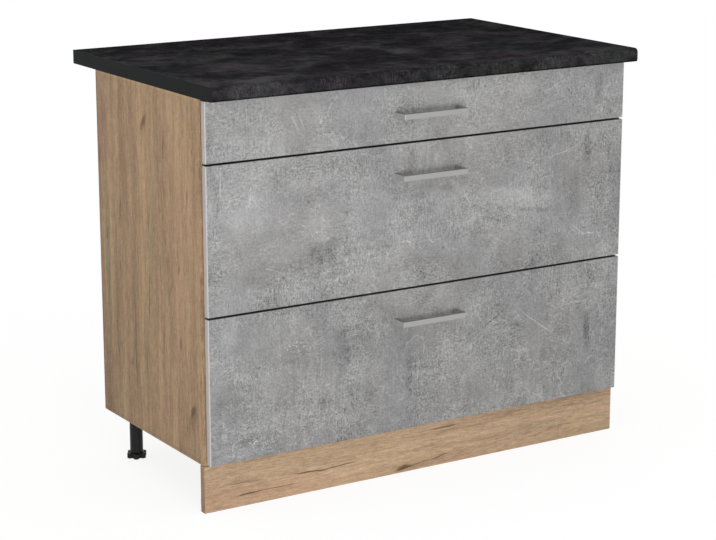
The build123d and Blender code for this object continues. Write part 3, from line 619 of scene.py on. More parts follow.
def oak_finish(
    name, colours, along, marks=(), flat_axis=None, level=1.0, grain=1.3, reach=0.006, pale=0.0
):
    """Oak decor with its grain along one axis.

    Marks are streaks at chosen places on the faces across flat_axis, and reach is how far noise
    bends them. Level is the decor's lightness, grain the contrast of its finest lines, and pale the
    share of the paler tone.
    """
    made = Finish(name, Specular_IOR_Level=0.2)
    x, y, z = made.split(made.place)
    if along == "Z":
        across, run = y + x * 0.97 + 0.33, z
    else:
        across, run = z + y * 0.83, x
    across = across + made.ripple(made.join(across * 3.0, run * 2.2, 0.0), 1.0, 2.0) * 0.022

    def drawn(across_scale, run_scale, slice_at):
        """Coordinates for noise that is drawn out along the grain."""
        return made.join(across * across_scale, run * run_scale, slice_at)

    fibres = made.ripple(drawn(300.0, 16.0, 0.3), 1.0, 4.0, 0.7)
    threads = made.ripple(drawn(480.0, 60.0, 1.7), 1.0, 2.0, 0.6)
    flecks = made.ripple(drawn(120.0, 30.0, 3.3), 1.0, 3.0, 0.6)
    dust = made.ripple(made.place, 210.0 if along == "Z" else 340.0, 2.0, 0.6)
    bands = made.ripple(drawn(44.0, 2.2, 4.1), 1.0, 4.0, 0.62, 0.4)
    broad = made.ripple(drawn(15.0, 1.3, 7.9))
    rosy = made.ripple(drawn(16.0, 1.2, 12.4))
    pores = made.islands(0.60, 0.72, drawn(240.0, 15.0, 9.2), 1.0, 2.0, 0.5)
    cracks = made.islands(0.64, 0.74, drawn(85.0, 6.0, 2.6), 1.0, 3.0, 0.6)
    dashes = made.islands(0.56, 0.70, drawn(125.0, 12.0, 5.6), 1.0, 4.0, 0.7)
    fine = (fibres * 0.50 + threads * 0.60 + flecks * 0.18 + dust * 0.34) * grain
    tone = level + fine + bands * 0.54 + broad * 0.80 - dashes * 0.11
    ground = made.mix(made.ease(bands, -0.14, 0.16), colours.oak, colours.oak_light)
    if pale:
        ground = made.mix(pale, ground, colours.oak_pale)
    ground = made.mix(made.ease(rosy, 0.0, 0.16) * 0.35, ground, colours.oak_pink)
    ground = made.mix(made.ease(rosy, -0.08, -0.20) * 0.35, ground, colours.oak_olive)
    if flat_axis == "X":  # the side panels: broad bands, and lines along their edges
        rear_band = made.patch(made.place, (0, 0.158, 0.42), (FLAT, 0.020, 0.20), core=0.2)
        upper_band = made.patch(made.place, (0, 0.165, 0.69), (FLAT, 0.034, 0.16), core=0.2)
        lower_band = made.patch(made.place, (0, 0.180, 0.22), (FLAT, 0.024, 0.16), core=0.2)
        low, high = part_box("side_panel_left")
        front_line = made.ease(y, low.y + 0.006, low.y + 0.003)
        rear_line = made.ease(y, high.y - 0.004, high.y - 0.002)
        head_line = made.ease(z, high.z - 0.005, high.z - 0.003)
        foot_line = made.ease(z, low.z + 0.0085, low.z + 0.0060)
        foot_line = foot_line - made.ease(z, low.z + 0.0055, low.z + 0.0035)
        ground = made.mix(rear_band * 0.9, ground, colours.oak_olive)
        ground = made.mix((upper_band + lower_band) * 0.7, ground, colours.oak_pink)
        ground = made.mix(front_line * 0.6, ground, colours.oak_light)
        # painted shade: darker towards the rear and the bottom
        tone = tone - made.ease(y, 0.00, 0.20) * 0.20 - made.ease(z, 0.45, 0.10) * 0.08
        tone = tone - foot_line * 0.16 + head_line * 0.14 - rear_line * 0.14
    ground = made.mix(pores * 0.30 + cracks * 0.34, ground, colours.oak_dark)
    if along == "X" and not marks:  # the boards inside: their rear edge is raw
        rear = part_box("bottom_panel")[1].y
        ground = made.mix(made.ease(y, rear - 0.0006, rear - 0.0003), ground, colours.chipboard)
    if marks:
        scars = streaks(made, marks, flat_axis, made.shaken(made.place, 34.0, reach, 4.0))
        tone = tone + scars * 0.9
        ground = made.mix(made.ease(scars, -0.08, -0.42) * 0.70, ground, colours.oak_dark)
    made.give("Base Color", made.scaled(ground, tone))
    made.give("Roughness", 0.55 + fibres * 0.25)
    made.raise_by(fibres - pores * 0.8, 0.00014, 0.5)
    return made.material


# on the worktop, (x, y, half length, half width, degrees, strength): paler is positive
SLATE_CLOUDS = (
    (-0.330, -0.100, 0.120, 0.090, 10, 0.26),
    (-0.380, -0.255, 0.120, 0.034, 0, 0.30),
    (-0.200, -0.040, 0.080, 0.060, 0, 0.14),
    (-0.050, -0.255, 0.070, 0.034, 0, 0.22),
    (0.060, -0.090, 0.050, 0.100, 0, 0.18),
    (0.040, 0.030, 0.040, 0.034, 0, 0.18),
    (0.250, 0.020, 0.070, 0.060, 20, 0.22),
    (0.250, -0.220, 0.044, 0.050, 0, 0.22),
    (-0.360, 0.200, 0.070, 0.050, 0, 0.12),
    (-0.130, -0.190, 0.090, 0.060, 0, -0.18),
    (0.000, 0.230, 0.060, 0.080, 0, -0.16),
    (0.140, 0.030, 0.080, 0.060, 0, -0.12),
    (0.340, -0.200, 0.060, 0.060, 0, -0.14),
    (-0.200, 0.060, 0.090, 0.050, 0, -0.12),
)
# (x, half width, strength) of the pale fuzz on its nose
NOSE_FUZZ = (
    (-0.400, 0.075, 1.0),
    (-0.240, 0.060, 0.5),
    (-0.080, 0.060, 0.7),
    (0.020, 0.030, 0.9),
    (0.120, 0.050, 0.4),
    (0.270, 0.060, 0.7),
    (0.470, 0.040, 0.3),
)


def slate_finish(name, colours):
    """Near-black slate laminate: cloudy, faintly purple and green, with pale fuzz and painted shade
    on the nose, and painted light and sheen across the top.
    """
    made = Finish(name, Specular_IOR_Level=0.0)
    where = made.shaken(made.place, 14.0, 0.012, 3.0)

    def drawn(x_scale, y_scale, z_scale):
        """Bent coordinates for noise with its own scale along each axis."""
        return made.vectors("MULTIPLY", where, (x_scale, y_scale, z_scale))

    clouds = made.islands(0.40, 0.70, drawn(9.0, 11.0, 20.0), 1.0, 6.0, 0.66, 0.5)
    puffs = made.ripple(drawn(34.0, 44.0, 60.0), 1.0, 4.0, 0.62)
    streak = made.ripple(drawn(60.0, 260.0, 60.0), 1.0, 3.0, 0.65)
    fuzz = made.islands(0.42, 0.64, drawn(330.0, 60.0, 60.0), 1.0, 3.0, 0.65)
    cast = made.islands(0.40, 0.60, drawn(6.0, 7.0, 6.0), 1.0, 2.0)
    sand = made.ripple(made.place, 300.0, 3.0, 0.7)
    patches = made.islands(0.45, 0.70, drawn(13.0, 0.0, 24.0), 1.0, 3.0, 0.6) * 0.4
    for place, reach, strength in NOSE_FUZZ:
        patches = made.patch(where, (place, 0, 0), (reach, FLAT, FLAT)) * strength + patches
    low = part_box("worktop")[0]
    x, y, z = made.split(made.place)
    near_nose = made.ease(y, low.y + 0.011, low.y + 0.004)
    # painted sheen: paler towards the front edge
    front_painted_sheen = made.ease(y, low.y + 0.12, low.y)
    lip_painted_shade = made.ease(z, low.z + 0.006, low.z + 0.002)
    spots = streaks(made, SLATE_CLOUDS, "Z", made.shaken(made.place, 16.0, 0.04, 4.0))
    mottle = 0.14 + clouds * 0.42 + puffs * 0.9 + spots
    mottle = mottle + front_painted_sheen * 0.13 + near_nose * (patches * fuzz * 0.78)
    # its last two terms are painted light: darker towards the rear and to the right
    tone = 0.98 + sand * 1.4 + streak * 1.0 - made.ease(y, 0.0, 0.26) * 0.20 - x * 0.16
    # painted shade: darker on the nose and on its lower lip
    tone = tone - near_nose * 0.38 - lip_painted_shade * 0.35
    pale = made.mix(cast, colours.slate_green, colours.slate_light)
    ground = made.mix(made.ease(mottle, -0.1, 1.1), colours.slate, pale)
    made.give("Base Color", made.scaled(ground, tone))
    made.give("Roughness", 0.66 + streak * 0.25)
    made.raise_by(streak + sand * 0.4, 0.0002, 0.5)
    return made.material


def edging_finish(name, colours):
    """Plain dark edging with the faint scuffs of trimmed plastic."""
    made = Finish(name, Specular_IOR_Level=0.03)
    cloud = made.ripple(made.placed(made.place, size=(1, 0.06, 0.02)))
    sand = made.ripple(made.place, 380.0, 2.0)
    made.give("Base Color", made.scaled(colours.edging, 1.0 + cloud * 0.25 + sand * 0.3))
    made.give("Roughness", 0.5 + cloud * 0.2)
    return made.material


def steel_finish(name, colours, tint):
    """Brushed steel: streaks along X, roughness that follows them."""
    made = Finish(name, Metallic=0.4, Specular_IOR_Level=0.5)
    brush = made.ripple(made.vectors("MULTIPLY", made.place, (24.0, 1500.0, 1500.0)), 1.0, 3.0, 0.6)
    cloud = made.ripple(made.place, 30.0, 2.0)
    made.give("Base Color", made.scaled(getattr(colours, tint), 1.0 + brush * 0.20 + cloud * 0.08))
    made.give("Roughness", 0.36 + brush * 0.3)
    made.raise_by(brush, 0.00003, 0.5)
    return made.material


def back_finish(name, colours):
    """Hardboard: painted pale inside, bare brown fibre towards the wall."""
    made = Finish(name, Specular_IOR_Level=0.3)
    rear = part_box("back_panel")[1].y
    bare_side = made.ease(made.split(made.place)[1], rear - 0.0012, rear - 0.0006)
    fibre = made.ripple(made.shaken(made.place, 120.0, 0.004), 340.0, 4.0, 0.65)
    screen = made.ripple(made.place, 9.0, 3.0)
    bare = made.scaled(colours.hardboard, 1.0 + fibre * 0.7 + screen * 0.15)
    painted = made.scaled(colours.melamine, 1.0 + fibre * 0.05)
    made.give("Base Color", made.mix(bare_side, painted, bare))
    made.give("Roughness", 0.5 + bare_side * 0.25)
    made.raise_by((fibre + 0.5) * (bare_side * 0.9 + 0.1), 0.0002, 0.6)
    return made.material


def screw_finish(name, colours):
    """Zinc-plated screws: the UV map, in millimetres from a head's middle, places its recess,
    darkened as painted shade.
    """
    made = Finish(name, Metallic=1.0)
    across, up, _ = made.split(made.node("ShaderNodeUVMap", {"uv_map": HEAD_MAP}))
    across, up = abs(across), abs(up)
    recess = made.ease(across.least(up), 0.60, 0.40) * made.ease(across.most(up), 2.1, 1.7)
    cloud = made.ripple(made.place, 260.0, 3.0)
    # the recess darkened: painted shade
    made.give("Base Color", made.scaled(colours.zinc, 1.0 + cloud * 0.3 - recess * 0.75))
    made.give("Roughness", 0.32 + cloud * 0.3 + recess * 0.3)
    made.raise_by(1.0 - recess, 0.0004)
    return made.material


def chipboard_finish(name, colours):
    """Raw particle board: pressed flakes of several browns."""
    made = Finish(name, Specular_IOR_Level=0.2)
    bent = made.shaken(made.place, 180.0, 0.002)
    flakes = made.node("ShaderNodeTexVoronoi", {}, {"Vector": bent, "Scale": 420.0}, "Color")
    tone = made.split(flakes)[0]
    gaps = made.ripple(made.place, 300.0, 3.0, 0.6)
    made.give("Base Color", made.scaled(colours.chipboard, 0.78 + tone * 0.34 + gaps * 0.5))
    made.give("Roughness", 0.82 + gaps * 0.1)
    made.raise_by(tone + gaps, 0.0003, 0.6)
    return made.material


def moved(start, ripples, shares):
    """A number moved by ripples, each times its share; a share of 0 adds no nodes."""
    for ripple, share in zip(ripples, shares):
        if share:
            start = start + ripple * share
    return start


def plain_finish(name, colours, tint, noises, tone, rough, bump=None, **constants):
    """One colour under noises, each given as (scale, detail, roughness).

    Tone holds each noise's share in the colour. Rough holds the roughness and each noise's share in
    that. Bump is the height of the first noise, in metres, and its strength.
    """
    made = Finish(name, **constants)
    ripples = [made.ripple(made.place, *noise) for noise in noises]
    made.give("Base Color", made.scaled(getattr(colours, tint), moved(1.0, ripples, tone)))
    made.give("Roughness", moved(rough[0], ripples, rough[1:]))
    if bump:
        made.raise_by(ripples[0], *bump)
    return made.material


FINISHES = {
    "concrete": concrete_finish,
    "front_edge": front_edge_finish,
    # dark grey painted shade on the top and the bottom edges of the drawer fronts
    "front_rim": partial(
        plain_finish, tint="front_rim", noises=((60.0, 3.0), (300.0, 2.0)), tone=(0.4, 0.5),
        rough=(0.6, 0.2), Specular_IOR_Level=0.1,
    ),
    "oak_upright": partial(
        oak_finish, along="Z", marks=SIDE_MARKS, flat_axis="X", level=1.035, grain=1.55
    ),
    # oak at a lower level as painted shade, for the side panels' front and lower edges and the
    # plinth's ends
    "oak_upright_edge": partial(oak_finish, along="Z", level=0.76),
    "oak_lengthwise": partial(oak_finish, along="X"),
    "oak_plinth": partial(
        oak_finish, along="X", marks=PLINTH_MARKS, flat_axis="Y", level=1.06, grain=1.55,
        reach=0.0025, pale=0.6,
    ),
    "slate": slate_finish,
    "edging": edging_finish,
    "brushed_steel": partial(steel_finish, tint="steel"),
    # painted shade on the handles' upper and lower faces
    "brushed_steel_edge": partial(steel_finish, tint="steel_edge"),
    # painted light on the outer faces of the handles' legs
    "brushed_steel_side": partial(steel_finish, tint="steel_side"),
    # moulded plastic with a fine eroded texture
    "black_plastic_grained": partial(
        plain_finish, tint="black", noises=((900.0, 2.0, 0.6), (60.0, 2.0)), tone=(0.5, 0.3),
        rough=(0.46, 0.0, 0.2), bump=(0.00006, 0.5), Specular_IOR_Level=0.25,
    ),
    # powder coat with a slight orange peel
    "coated_sheet": partial(
        plain_finish, tint="coated", noises=((420.0, 2.0, 0.5), (14.0, 2.0)), tone=(0.05, 0.08),
        rough=(0.40, 0.0, 0.15), bump=(0.00005, 0.6), Specular_IOR_Level=0.45,
    ),
    "nylon": partial(
        plain_finish, tint="roller", noises=((700.0, 2.0), (120.0, 2.0)), tone=(0.05, 0.12),
        rough=(0.42, 0.2), bump=(0.00003, 0.5), Specular_IOR_Level=0.45,
    ),
    # pale board with a fine pearl
    "melamine": partial(
        plain_finish, tint="melamine", noises=((480.0, 3.0, 0.6), (6.0, 2.0)), tone=(0.06, 0.05),
        rough=(0.48, 0.2), bump=(0.00004, 0.5), Specular_IOR_Level=0.4,
    ),
    "hardboard": back_finish,
    "zinc_plate": partial(
        plain_finish,
        tint="zinc",
        noises=((260.0, 3.0),),
        tone=(0.3,),
        rough=(0.32, 0.3),
        Metallic=1.0,
    ),
    "zinc_screws": screw_finish,
    "raw_chipboard": chipboard_finish,
    "milky_silicone": partial(
        plain_finish, tint="silicone", noises=((300.0, 2.0),), tone=(0.08,), rough=(0.3, 0.1),
        Specular_IOR_Level=0.5, Coat_Weight=0.2, Coat_Roughness=0.2,
    ),
}

# what a carried-over CAD node wears, by its record slot
SLOT_FINISH = {
    "oak_board": "oak_lengthwise",
    "back_board": "hardboard",
    "drawer_board": "melamine",
    "coated_steel": "coated_sheet",
    "zinc_steel": "zinc_plate",
    "black_plastic": "black_plastic_grained",
    "clear_bumper": "milky_silicone",
}


def finish(name):
    """The finish of that name, made when it is first asked for."""
    material = bpy.data.materials.get(name)
    if material is None:
        material = FINISHES[name](name, bpy.context.scene.cabinet_colours)
    return material


# ------------------------------------------------------------------ shapes
SAME = 1e-5  # places nearer than this are one place
MERGED = 1e-6  # and corners nearer than this are made one
FACING = 0.9  # how much of an axis is in the normal of a face that looks along it
TILTED = 0.5  # the same for a face of the outer half of a softened edge
LEANING = 0.3  # and for a face of most of it
CREASE = 30  # degrees between two faces from which their edge is sharp
STEEP_CREASE = 60  # and from which it is sharp beside a rounded corner
SHADED_AS_ONE = 42  # degrees between two faces below which they are shaded as one


def block(mesh, low, high):
    """A squared block between two corners."""
    low, high = Vector(low), Vector(high)
    place = Matrix.Translation((low + high) / 2) @ Matrix.Diagonal((*(high - low), 1.0))
    bmesh.ops.create_cube(mesh, size=1.0, matrix=place)


def pushed(mesh, faces, rise):
    """Gives flat faces a body, by pushing a copy of them along a vector."""
    found = bmesh.ops.extrude_face_region(mesh, geom=faces, use_keep_orig=True)["geom"]
    moved = [item for item in found if isinstance(item, bmesh.types.BMVert)]
    bmesh.ops.translate(mesh, verts=moved, vec=rise)
    bmesh.ops.recalc_face_normals(mesh, faces=mesh.faces)


def prism(outline, rise):
    """A flat outline of a few points, pushed along a vector into a solid, as a mesh of its own."""
    mesh = bmesh.new()
    pushed(mesh, [mesh.faces.new([mesh.verts.new(corner) for corner in outline])], rise)
    return mesh


def column(outline, low, high):
    """An outline of (x, y) corners, raised from low to high."""
    return prism([(x, y, low.z) for x, y in outline], (0, 0, high.z - low.z))


def turned(mesh, profile, centre, axis, steps):
    """A profile of (radius, height) points, closed or ending on the axis, spun round it."""
    axis = Vector(axis).normalized()
    out = axis.orthogonal().normalized()
    centre = Vector(centre)
    verts = [mesh.verts.new(centre + out * radius + axis * height) for radius, height in profile]
    edges = [
        mesh.edges.new((verts[i - 1], verts[i]))
        for i in range(len(verts))
        if profile[i - 1][0] or profile[i][0]
    ]
    bmesh.ops.spin(
        mesh,
        geom=verts + edges,
        cent=centre,
        axis=axis,
        angle=math.tau,
        steps=steps,
        use_merge=True,
    )
    bmesh.ops.remove_doubles(mesh, verts=mesh.verts, dist=MERGED)
    bmesh.ops.recalc_face_normals(mesh, faces=mesh.faces)


def solids(node):
    """The corner lists of the separate solids in a CAD node, in a fixed order."""
    mesh = bmesh.new()
    mesh.from_mesh(node.data)
    bmesh.ops.remove_doubles(mesh, verts=mesh.verts, dist=MERGED)
    left = set(mesh.verts)
    found = []
    while left:
        part, rim = set(), {next(iter(left))}
        while rim:
            part |= rim
            rim = {link.other_vert(vert) for vert in rim for link in vert.link_edges} - part
        left -= part
        found.append(sorted(tuple(vert.co) for vert in part))
    mesh.free()
    return sorted(found)


def soften(mesh, edges, radius, segments=2):
    """Rounds these edges."""
    if edges and radius > 0:
        shape = {"offset": radius, "segments": segments, "profile": 0.5, "clamp_overlap": True}
        bmesh.ops.bevel(mesh, geom=edges, affect="EDGES", material=-1, **shape)


def sharp_edges(mesh, least=CREASE):
    """Edges where the faces meet at more than that many degrees."""
    two_faced = [edge for edge in mesh.edges if len(edge.link_faces) == 2]
    return [edge for edge in two_faced if edge.calc_face_angle(0) > math.radians(least)]


def near(a, b):
    return abs(a - b) < SAME


def edges_at(edges, **places):
    """Those of the edges whose ends both have the coordinates given, such as x=0.5."""
    return [
        edge
        for edge in edges
        if all(
            near(getattr(vert.co, axis), at) for vert in edge.verts for axis, at in places.items()
        )
    ]


def upright(edges):
    """Those of the edges that run straight up."""
    ends = [(edge, *(vert.co for vert in edge.verts)) for edge in edges]
    return [edge for edge, one, other in ends if near(one.x, other.x) and near(one.y, other.y)]


def softened_block(low, high, arris, segments=2):
    """A block with all its edges softened, as a mesh of its own."""
    mesh = bmesh.new()
    block(mesh, low, high)
    soften(mesh, sharp_edges(mesh), arris, segments)
    return mesh


def mesh_data(name, mesh):
    """Blender's mesh of a finished bmesh, which it frees."""
    data = bpy.data.meshes.new(name)
    mesh.to_mesh(data)
    mesh.free()
    return data


def add_part(mesh, part):
    """Adds a part that was made as a mesh of its own."""
    data = mesh_data("part", part)
    mesh.from_mesh(data)
    bpy.data.meshes.remove(data)


def placed_object(name, data):
    """An object with that shape, light or camera, in the scene."""
    made = bpy.data.objects.new(name, data)
    bpy.context.scene.collection.objects.link(made)
    return made


def finished(mesh, name, nodes, finishes, choose=None):
    """Makes the piece: it rides where the CAD nodes ride, stands for them and wears the finishes.

    Choose gives the number of a face's finish. Without it every face wears the first.
    """
    mesh.normal_update()
    for face in mesh.faces:
        face.smooth = True
        face.material_index = choose(face) if choose else 0
    data = mesh_data(name, mesh)
    data.set_sharp_from_angle(angle=math.radians(SHADED_AS_ONE))
    for each in finishes:
        data.materials.append(finish(each))
    piece = placed_object(name, data)
    piece.modifiers.new("even_normals", "WEIGHTED_NORMAL").keep_sharp = True
    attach(piece, frame["nodes"][nodes[0]]["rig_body"])
    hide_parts(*nodes)
    return piece


# ------------------------------------------------------------------ one operator per kind of piece
class CabinetOperator:
    """What the operators share."""

    bl_options = {"REGISTER", "UNDO"}

    def execute(self, context):
        self.build(context.scene.cabinet_sizes)
        return {"FINISHED"}


class CABINET_OT_worktop(CabinetOperator, bpy.types.Operator):
    """Make the worktop, with its rounded nose and the strips on its cut ends"""

    bl_idname = "cabinet.worktop"
    bl_label = "Worktop"

    def nose(self, mesh, low, high, sizes):
        soften(mesh, edges_at(mesh.edges, y=low.y, z=high.z), sizes.nose_upper, segments=10)
        soften(mesh, edges_at(mesh.edges, y=low.y, z=low.z), sizes.nose_lower, segments=8)

    def build(self, sizes):
        slab_low, slab_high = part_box("worktop")
        mesh = bmesh.new()
        block(mesh, slab_low, slab_high)
        self.nose(mesh, slab_low, slab_high, sizes)
        soften(mesh, edges_at(mesh.edges, y=slab_high.y, z=slab_high.z), sizes.board_arris)

        def skin(face):
            if face.normal.y > FACING:
                return 1
            return 2 if face.normal.z < -FACING else 0

        skins = ["slate", "raw_chipboard", "edging"]
        finished(mesh, "worktop_slab", ["worktop"], skins, skin)

        mesh = bmesh.new()
        low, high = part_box("worktop_end_strips")
        for left, right, outside in ((low.x, slab_low.x, low.x), (slab_high.x, high.x, high.x)):
            strip = bmesh.new()
            block(strip, (left, low.y, low.z), (right, high.y, high.z))
            self.nose(strip, low, high, sizes)
            rim = edges_at(sharp_edges(strip, STEEP_CREASE), x=outside)
            soften(strip, rim, sizes.strip_arris)
            add_part(mesh, strip)
        finished(mesh, "worktop_strips", ["worktop_end_strips"], ["edging"])


class CABINET_OT_side_panels(CabinetOperator, bpy.types.Operator):
    """Make the two side panels, grooved for the back panel"""

    bl_idname = "cabinet.side_panels"
    bl_label = "Side panels"

    def skin(self, face):
        if face.normal.y < -FACING or face.normal.z < -FACING:
            return 1
        return 2 if face.normal.y > FACING or face.normal.z > FACING else 0

    def build(self, sizes):
        back_low, back_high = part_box("back_panel")
        skins = ["oak_upright", "oak_upright_edge", "raw_chipboard"]
        for side in ("left", "right"):
            node = f"side_panel_{side}"
            low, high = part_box(node)
            inner, outer = (high.x, low.x) if low.x < 0 else (low.x, high.x)
            groove = inner + math.copysign(sizes.groove_depth, outer - inner)
            outline = [
                (outer, low.y),
                (inner, low.y),
                (inner, back_low.y),
                (groove, back_low.y),
                (groove, back_high.y),
                (inner, back_high.y),
                (inner, high.y),
                (outer, high.y),
            ]
            mesh = column(outline, low, high)
            groove_front, groove_rear = back_low.y - SAME, back_high.y + SAME
            rim = [
                edge
                for edge in sharp_edges(mesh)
                if not all(groove_front < vert.co.y < groove_rear for vert in edge.verts)
            ]
            soften(mesh, rim, sizes.board_arris)
            finished(mesh, f"side_board_{side}", [node], skins, self.skin)


class CABINET_OT_fronts(CabinetOperator, bpy.types.Operator):
    """Make the three drawer fronts, with pale bands at the sides and grey painted shade on the
    edges above and below
    """

    bl_idname = "cabinet.fronts"
    bl_label = "Drawer fronts"

    def skin(self, face):
        # upper and lower edges wear painted shade
        if abs(face.normal.z) > FACING:
            return 3
        if abs(face.normal.x) > LEANING:
            return 1
        return 2 if face.normal.y > LEANING else 0

    def build(self, sizes):
        skins = ["concrete", "front_edge", "melamine", "front_rim"]
        for level in LEVELS:
            node = f"{level}_drawer_front"
            mesh = softened_block(*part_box(node), sizes.front_arris, segments=3)
            finished(mesh, f"{level}_front_board", [node], skins, self.skin)


class CABINET_OT_handles(CabinetOperator, bpy.types.Operator):
    """Make the three flat bow handles"""

    bl_idname = "cabinet.handles"
    bl_label = "Handles"

    def build(self, sizes):
        bar = sizes.handle_bar
        skins = ["brushed_steel", "brushed_steel_edge", "brushed_steel_side"]
        for level in LEVELS:
            node = f"{level}_drawer_handle"
            low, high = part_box(node)
            outline = [
                (low.x, high.y),
                (low.x, low.y),
                (high.x, low.y),
                (high.x, high.y),
                (high.x - bar, high.y),
                (high.x - bar, low.y + bar),
                (low.x + bar, low.y + bar),
                (low.x + bar, high.y),
            ]
            mesh = column(outline, low, high)
            corners = upright(edges_at(mesh.edges, y=low.y))
            soften(mesh, corners, sizes.handle_corner, segments=5)
            against_front = edges_at(mesh.edges, y=high.y)
            rim = [edge for edge in sharp_edges(mesh, STEEP_CREASE) if edge not in against_front]
            soften(mesh, rim, sizes.handle_arris, segments=3)
            # the legs' outer faces, with the first step of their softened edges, wear painted light
            outside = high.x - sizes.handle_arris / 5

            def skin(face):
                # upper and lower faces wear painted shade
                if abs(face.normal.z) > TILTED:
                    return 1
                return 2 if abs(face.calc_center_median().x) > outside else 0

            finished(mesh, f"{level}_bow", [node], skins, skin)


class CABINET_OT_plinth(CabinetOperator, bpy.types.Operator):
    """Make the plinth board"""

    bl_idname = "cabinet.plinth"
    bl_label = "Plinth"

    def skin(self, face):
        if abs(face.normal.x) > FACING:
            return 2
        return 1 if face.normal.z > FACING else 0

    def build(self, sizes):
        mesh = softened_block(*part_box("plinth_board"), sizes.board_arris)
        skins = ["oak_plinth", "raw_chipboard", "oak_upright_edge"]
        finished(mesh, "plinth_face", ["plinth_board"], skins, self.skin)


class CABINET_OT_legs(CabinetOperator, bpy.types.Operator):
    """Make the four legs and their lobed, screw-in feet"""

    bl_idname = "cabinet.legs"
    bl_label = "Legs and feet"

    def rib(self, reach, sizes):
        """An upright triangle along X, from the middle of the tube's wall out to reach."""
        root = sizes.tube_radius - sizes.tube_wall / 2
        side = -sizes.rib_width / 2
        tip = -sizes.collar_height - sizes.rib_inset
        outline = [(root, side, 0.0), (reach, side, 0.0), (root, side, tip)]
        return prism(outline, (0, sizes.rib_width, 0))

    def leg(self, spot, sizes):
        low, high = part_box(f"leg_{spot}")
        middle = (low + high) / 2
        flange_low = high.z - sizes.flange_thickness
        mesh = bmesh.new()
        block(mesh, (low.x, low.y, flange_low), high)
        soften(mesh, upright(mesh.edges), sizes.flange_corner, segments=6)
        soften(mesh, edges_at(sharp_edges(mesh, STEEP_CREASE), z=flange_low), sizes.leg_arris)
        radius, soft = sizes.tube_radius, sizes.leg_arris
        bore = radius - sizes.tube_wall
        tube_low = low.z - flange_low
        profile = [
            (bore, tube_low),
            (radius - soft, tube_low),
            (radius, tube_low + soft),
            (radius, -sizes.collar_height - sizes.collar_step),
            (sizes.collar_radius, -sizes.collar_height),
            (sizes.collar_radius + sizes.collar_flare, 0.0),
            (bore, 0.0),
        ]
        under_plate = Vector((middle.x, middle.y, flange_low))
        turned(mesh, profile, under_plate, (0, 0, 1), steps=40)
        for quarter in range(4):
            rib = self.rib((high.x - low.x) / 2 - sizes.rib_inset, sizes)
            turn = Matrix.Rotation(math.radians(90 * quarter), 4, "Z")
            bmesh.ops.transform(rib, matrix=Matrix.Translation(under_plate) @ turn, verts=rib.verts)
            add_part(mesh, rib)
        finished(
            mesh, f"leg_tube_{spot}", [f"leg_{spot}"], ["black_plastic_grained"]
        )

    def foot(self, spot, sizes):
        low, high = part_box(f"foot_{spot}")
        middle = (low + high) / 2
        half_lobe = math.pi / FOOT_LOBES
        mesh = bmesh.new()
        steps = FOOT_LOBES * 20
        bmesh.ops.create_circle(mesh, cap_ends=True, segments=steps, radius=sizes.foot_core)
        for vert in mesh.verts:
            off = (math.atan2(vert.co.y, vert.co.x) + half_lobe) % (2 * half_lobe) - half_lobe
            side = sizes.foot_lobe_out * math.sin(off)
            if abs(side) < sizes.foot_lobe:
                lobe = sizes.foot_lobe_out * math.cos(off) + math.sqrt(sizes.foot_lobe**2 - side**2)
                vert.co = vert.co.normalized() * max(sizes.foot_core, lobe)
        pushed(mesh, list(mesh.faces), (0, 0, sizes.foot_height))
        bmesh.ops.translate(mesh, verts=mesh.verts, vec=(middle.x, middle.y, low.z))
        rims = [
            edge
            for edge in sharp_edges(mesh, STEEP_CREASE)
            if near(edge.verts[0].co.z, edge.verts[1].co.z)
        ]
        soften(mesh, rims, sizes.foot_arris, segments=3)
        stem = sizes.tube_radius - sizes.tube_wall - sizes.stem_slack
        rise = high.z - low.z - sizes.foot_height
        profile = [(0.0, 0.0), (stem, 0.0), (stem, rise), (0.0, rise)]
        turned(mesh, profile, (middle.x, middle.y, low.z + sizes.foot_height), (0, 0, 1), steps=32)
        finished(
            mesh, f"foot_pad_{spot}", [f"foot_{spot}"], ["black_plastic_grained"]
        )

    def build(self, sizes):
        for spot in SPOTS:
            self.leg(spot, sizes)
            self.foot(spot, sizes)


class CABINET_OT_rods(CabinetOperator, bpy.types.Operator):
    """Make the round rods of the deep drawers, with a ferrule at each end"""

    bl_idname = "cabinet.rods"
    bl_label = "Rods"

    def build(self, sizes):
        rod, rim, grip = sizes.rod_radius, sizes.ferrule_arris, sizes.ferrule_length
        for level in DEEP_LEVELS:
            node = f"{level}_drawer_rods"
            low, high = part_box(node)
            ferrule = (high.z - low.z) / 2
            span = high.y - low.y
            near_end = [
                (0.0, 0.0),
                (ferrule - rim, 0.0),
                (ferrule, rim),
                (ferrule, grip - rim),
                (ferrule - rim, grip),
                (rod, grip),
            ]
            far_end = [(radius, span - height) for radius, height in reversed(near_end)]
            mesh = bmesh.new()
            for x in (low.x + ferrule, high.x - ferrule):
                centre = (x, low.y, (low.z + high.z) / 2)
                turned(mesh, near_end + far_end, centre, (0, 1, 0), steps=40)
            finished(mesh, f"{level}_rods", [node], ["coated_sheet"])


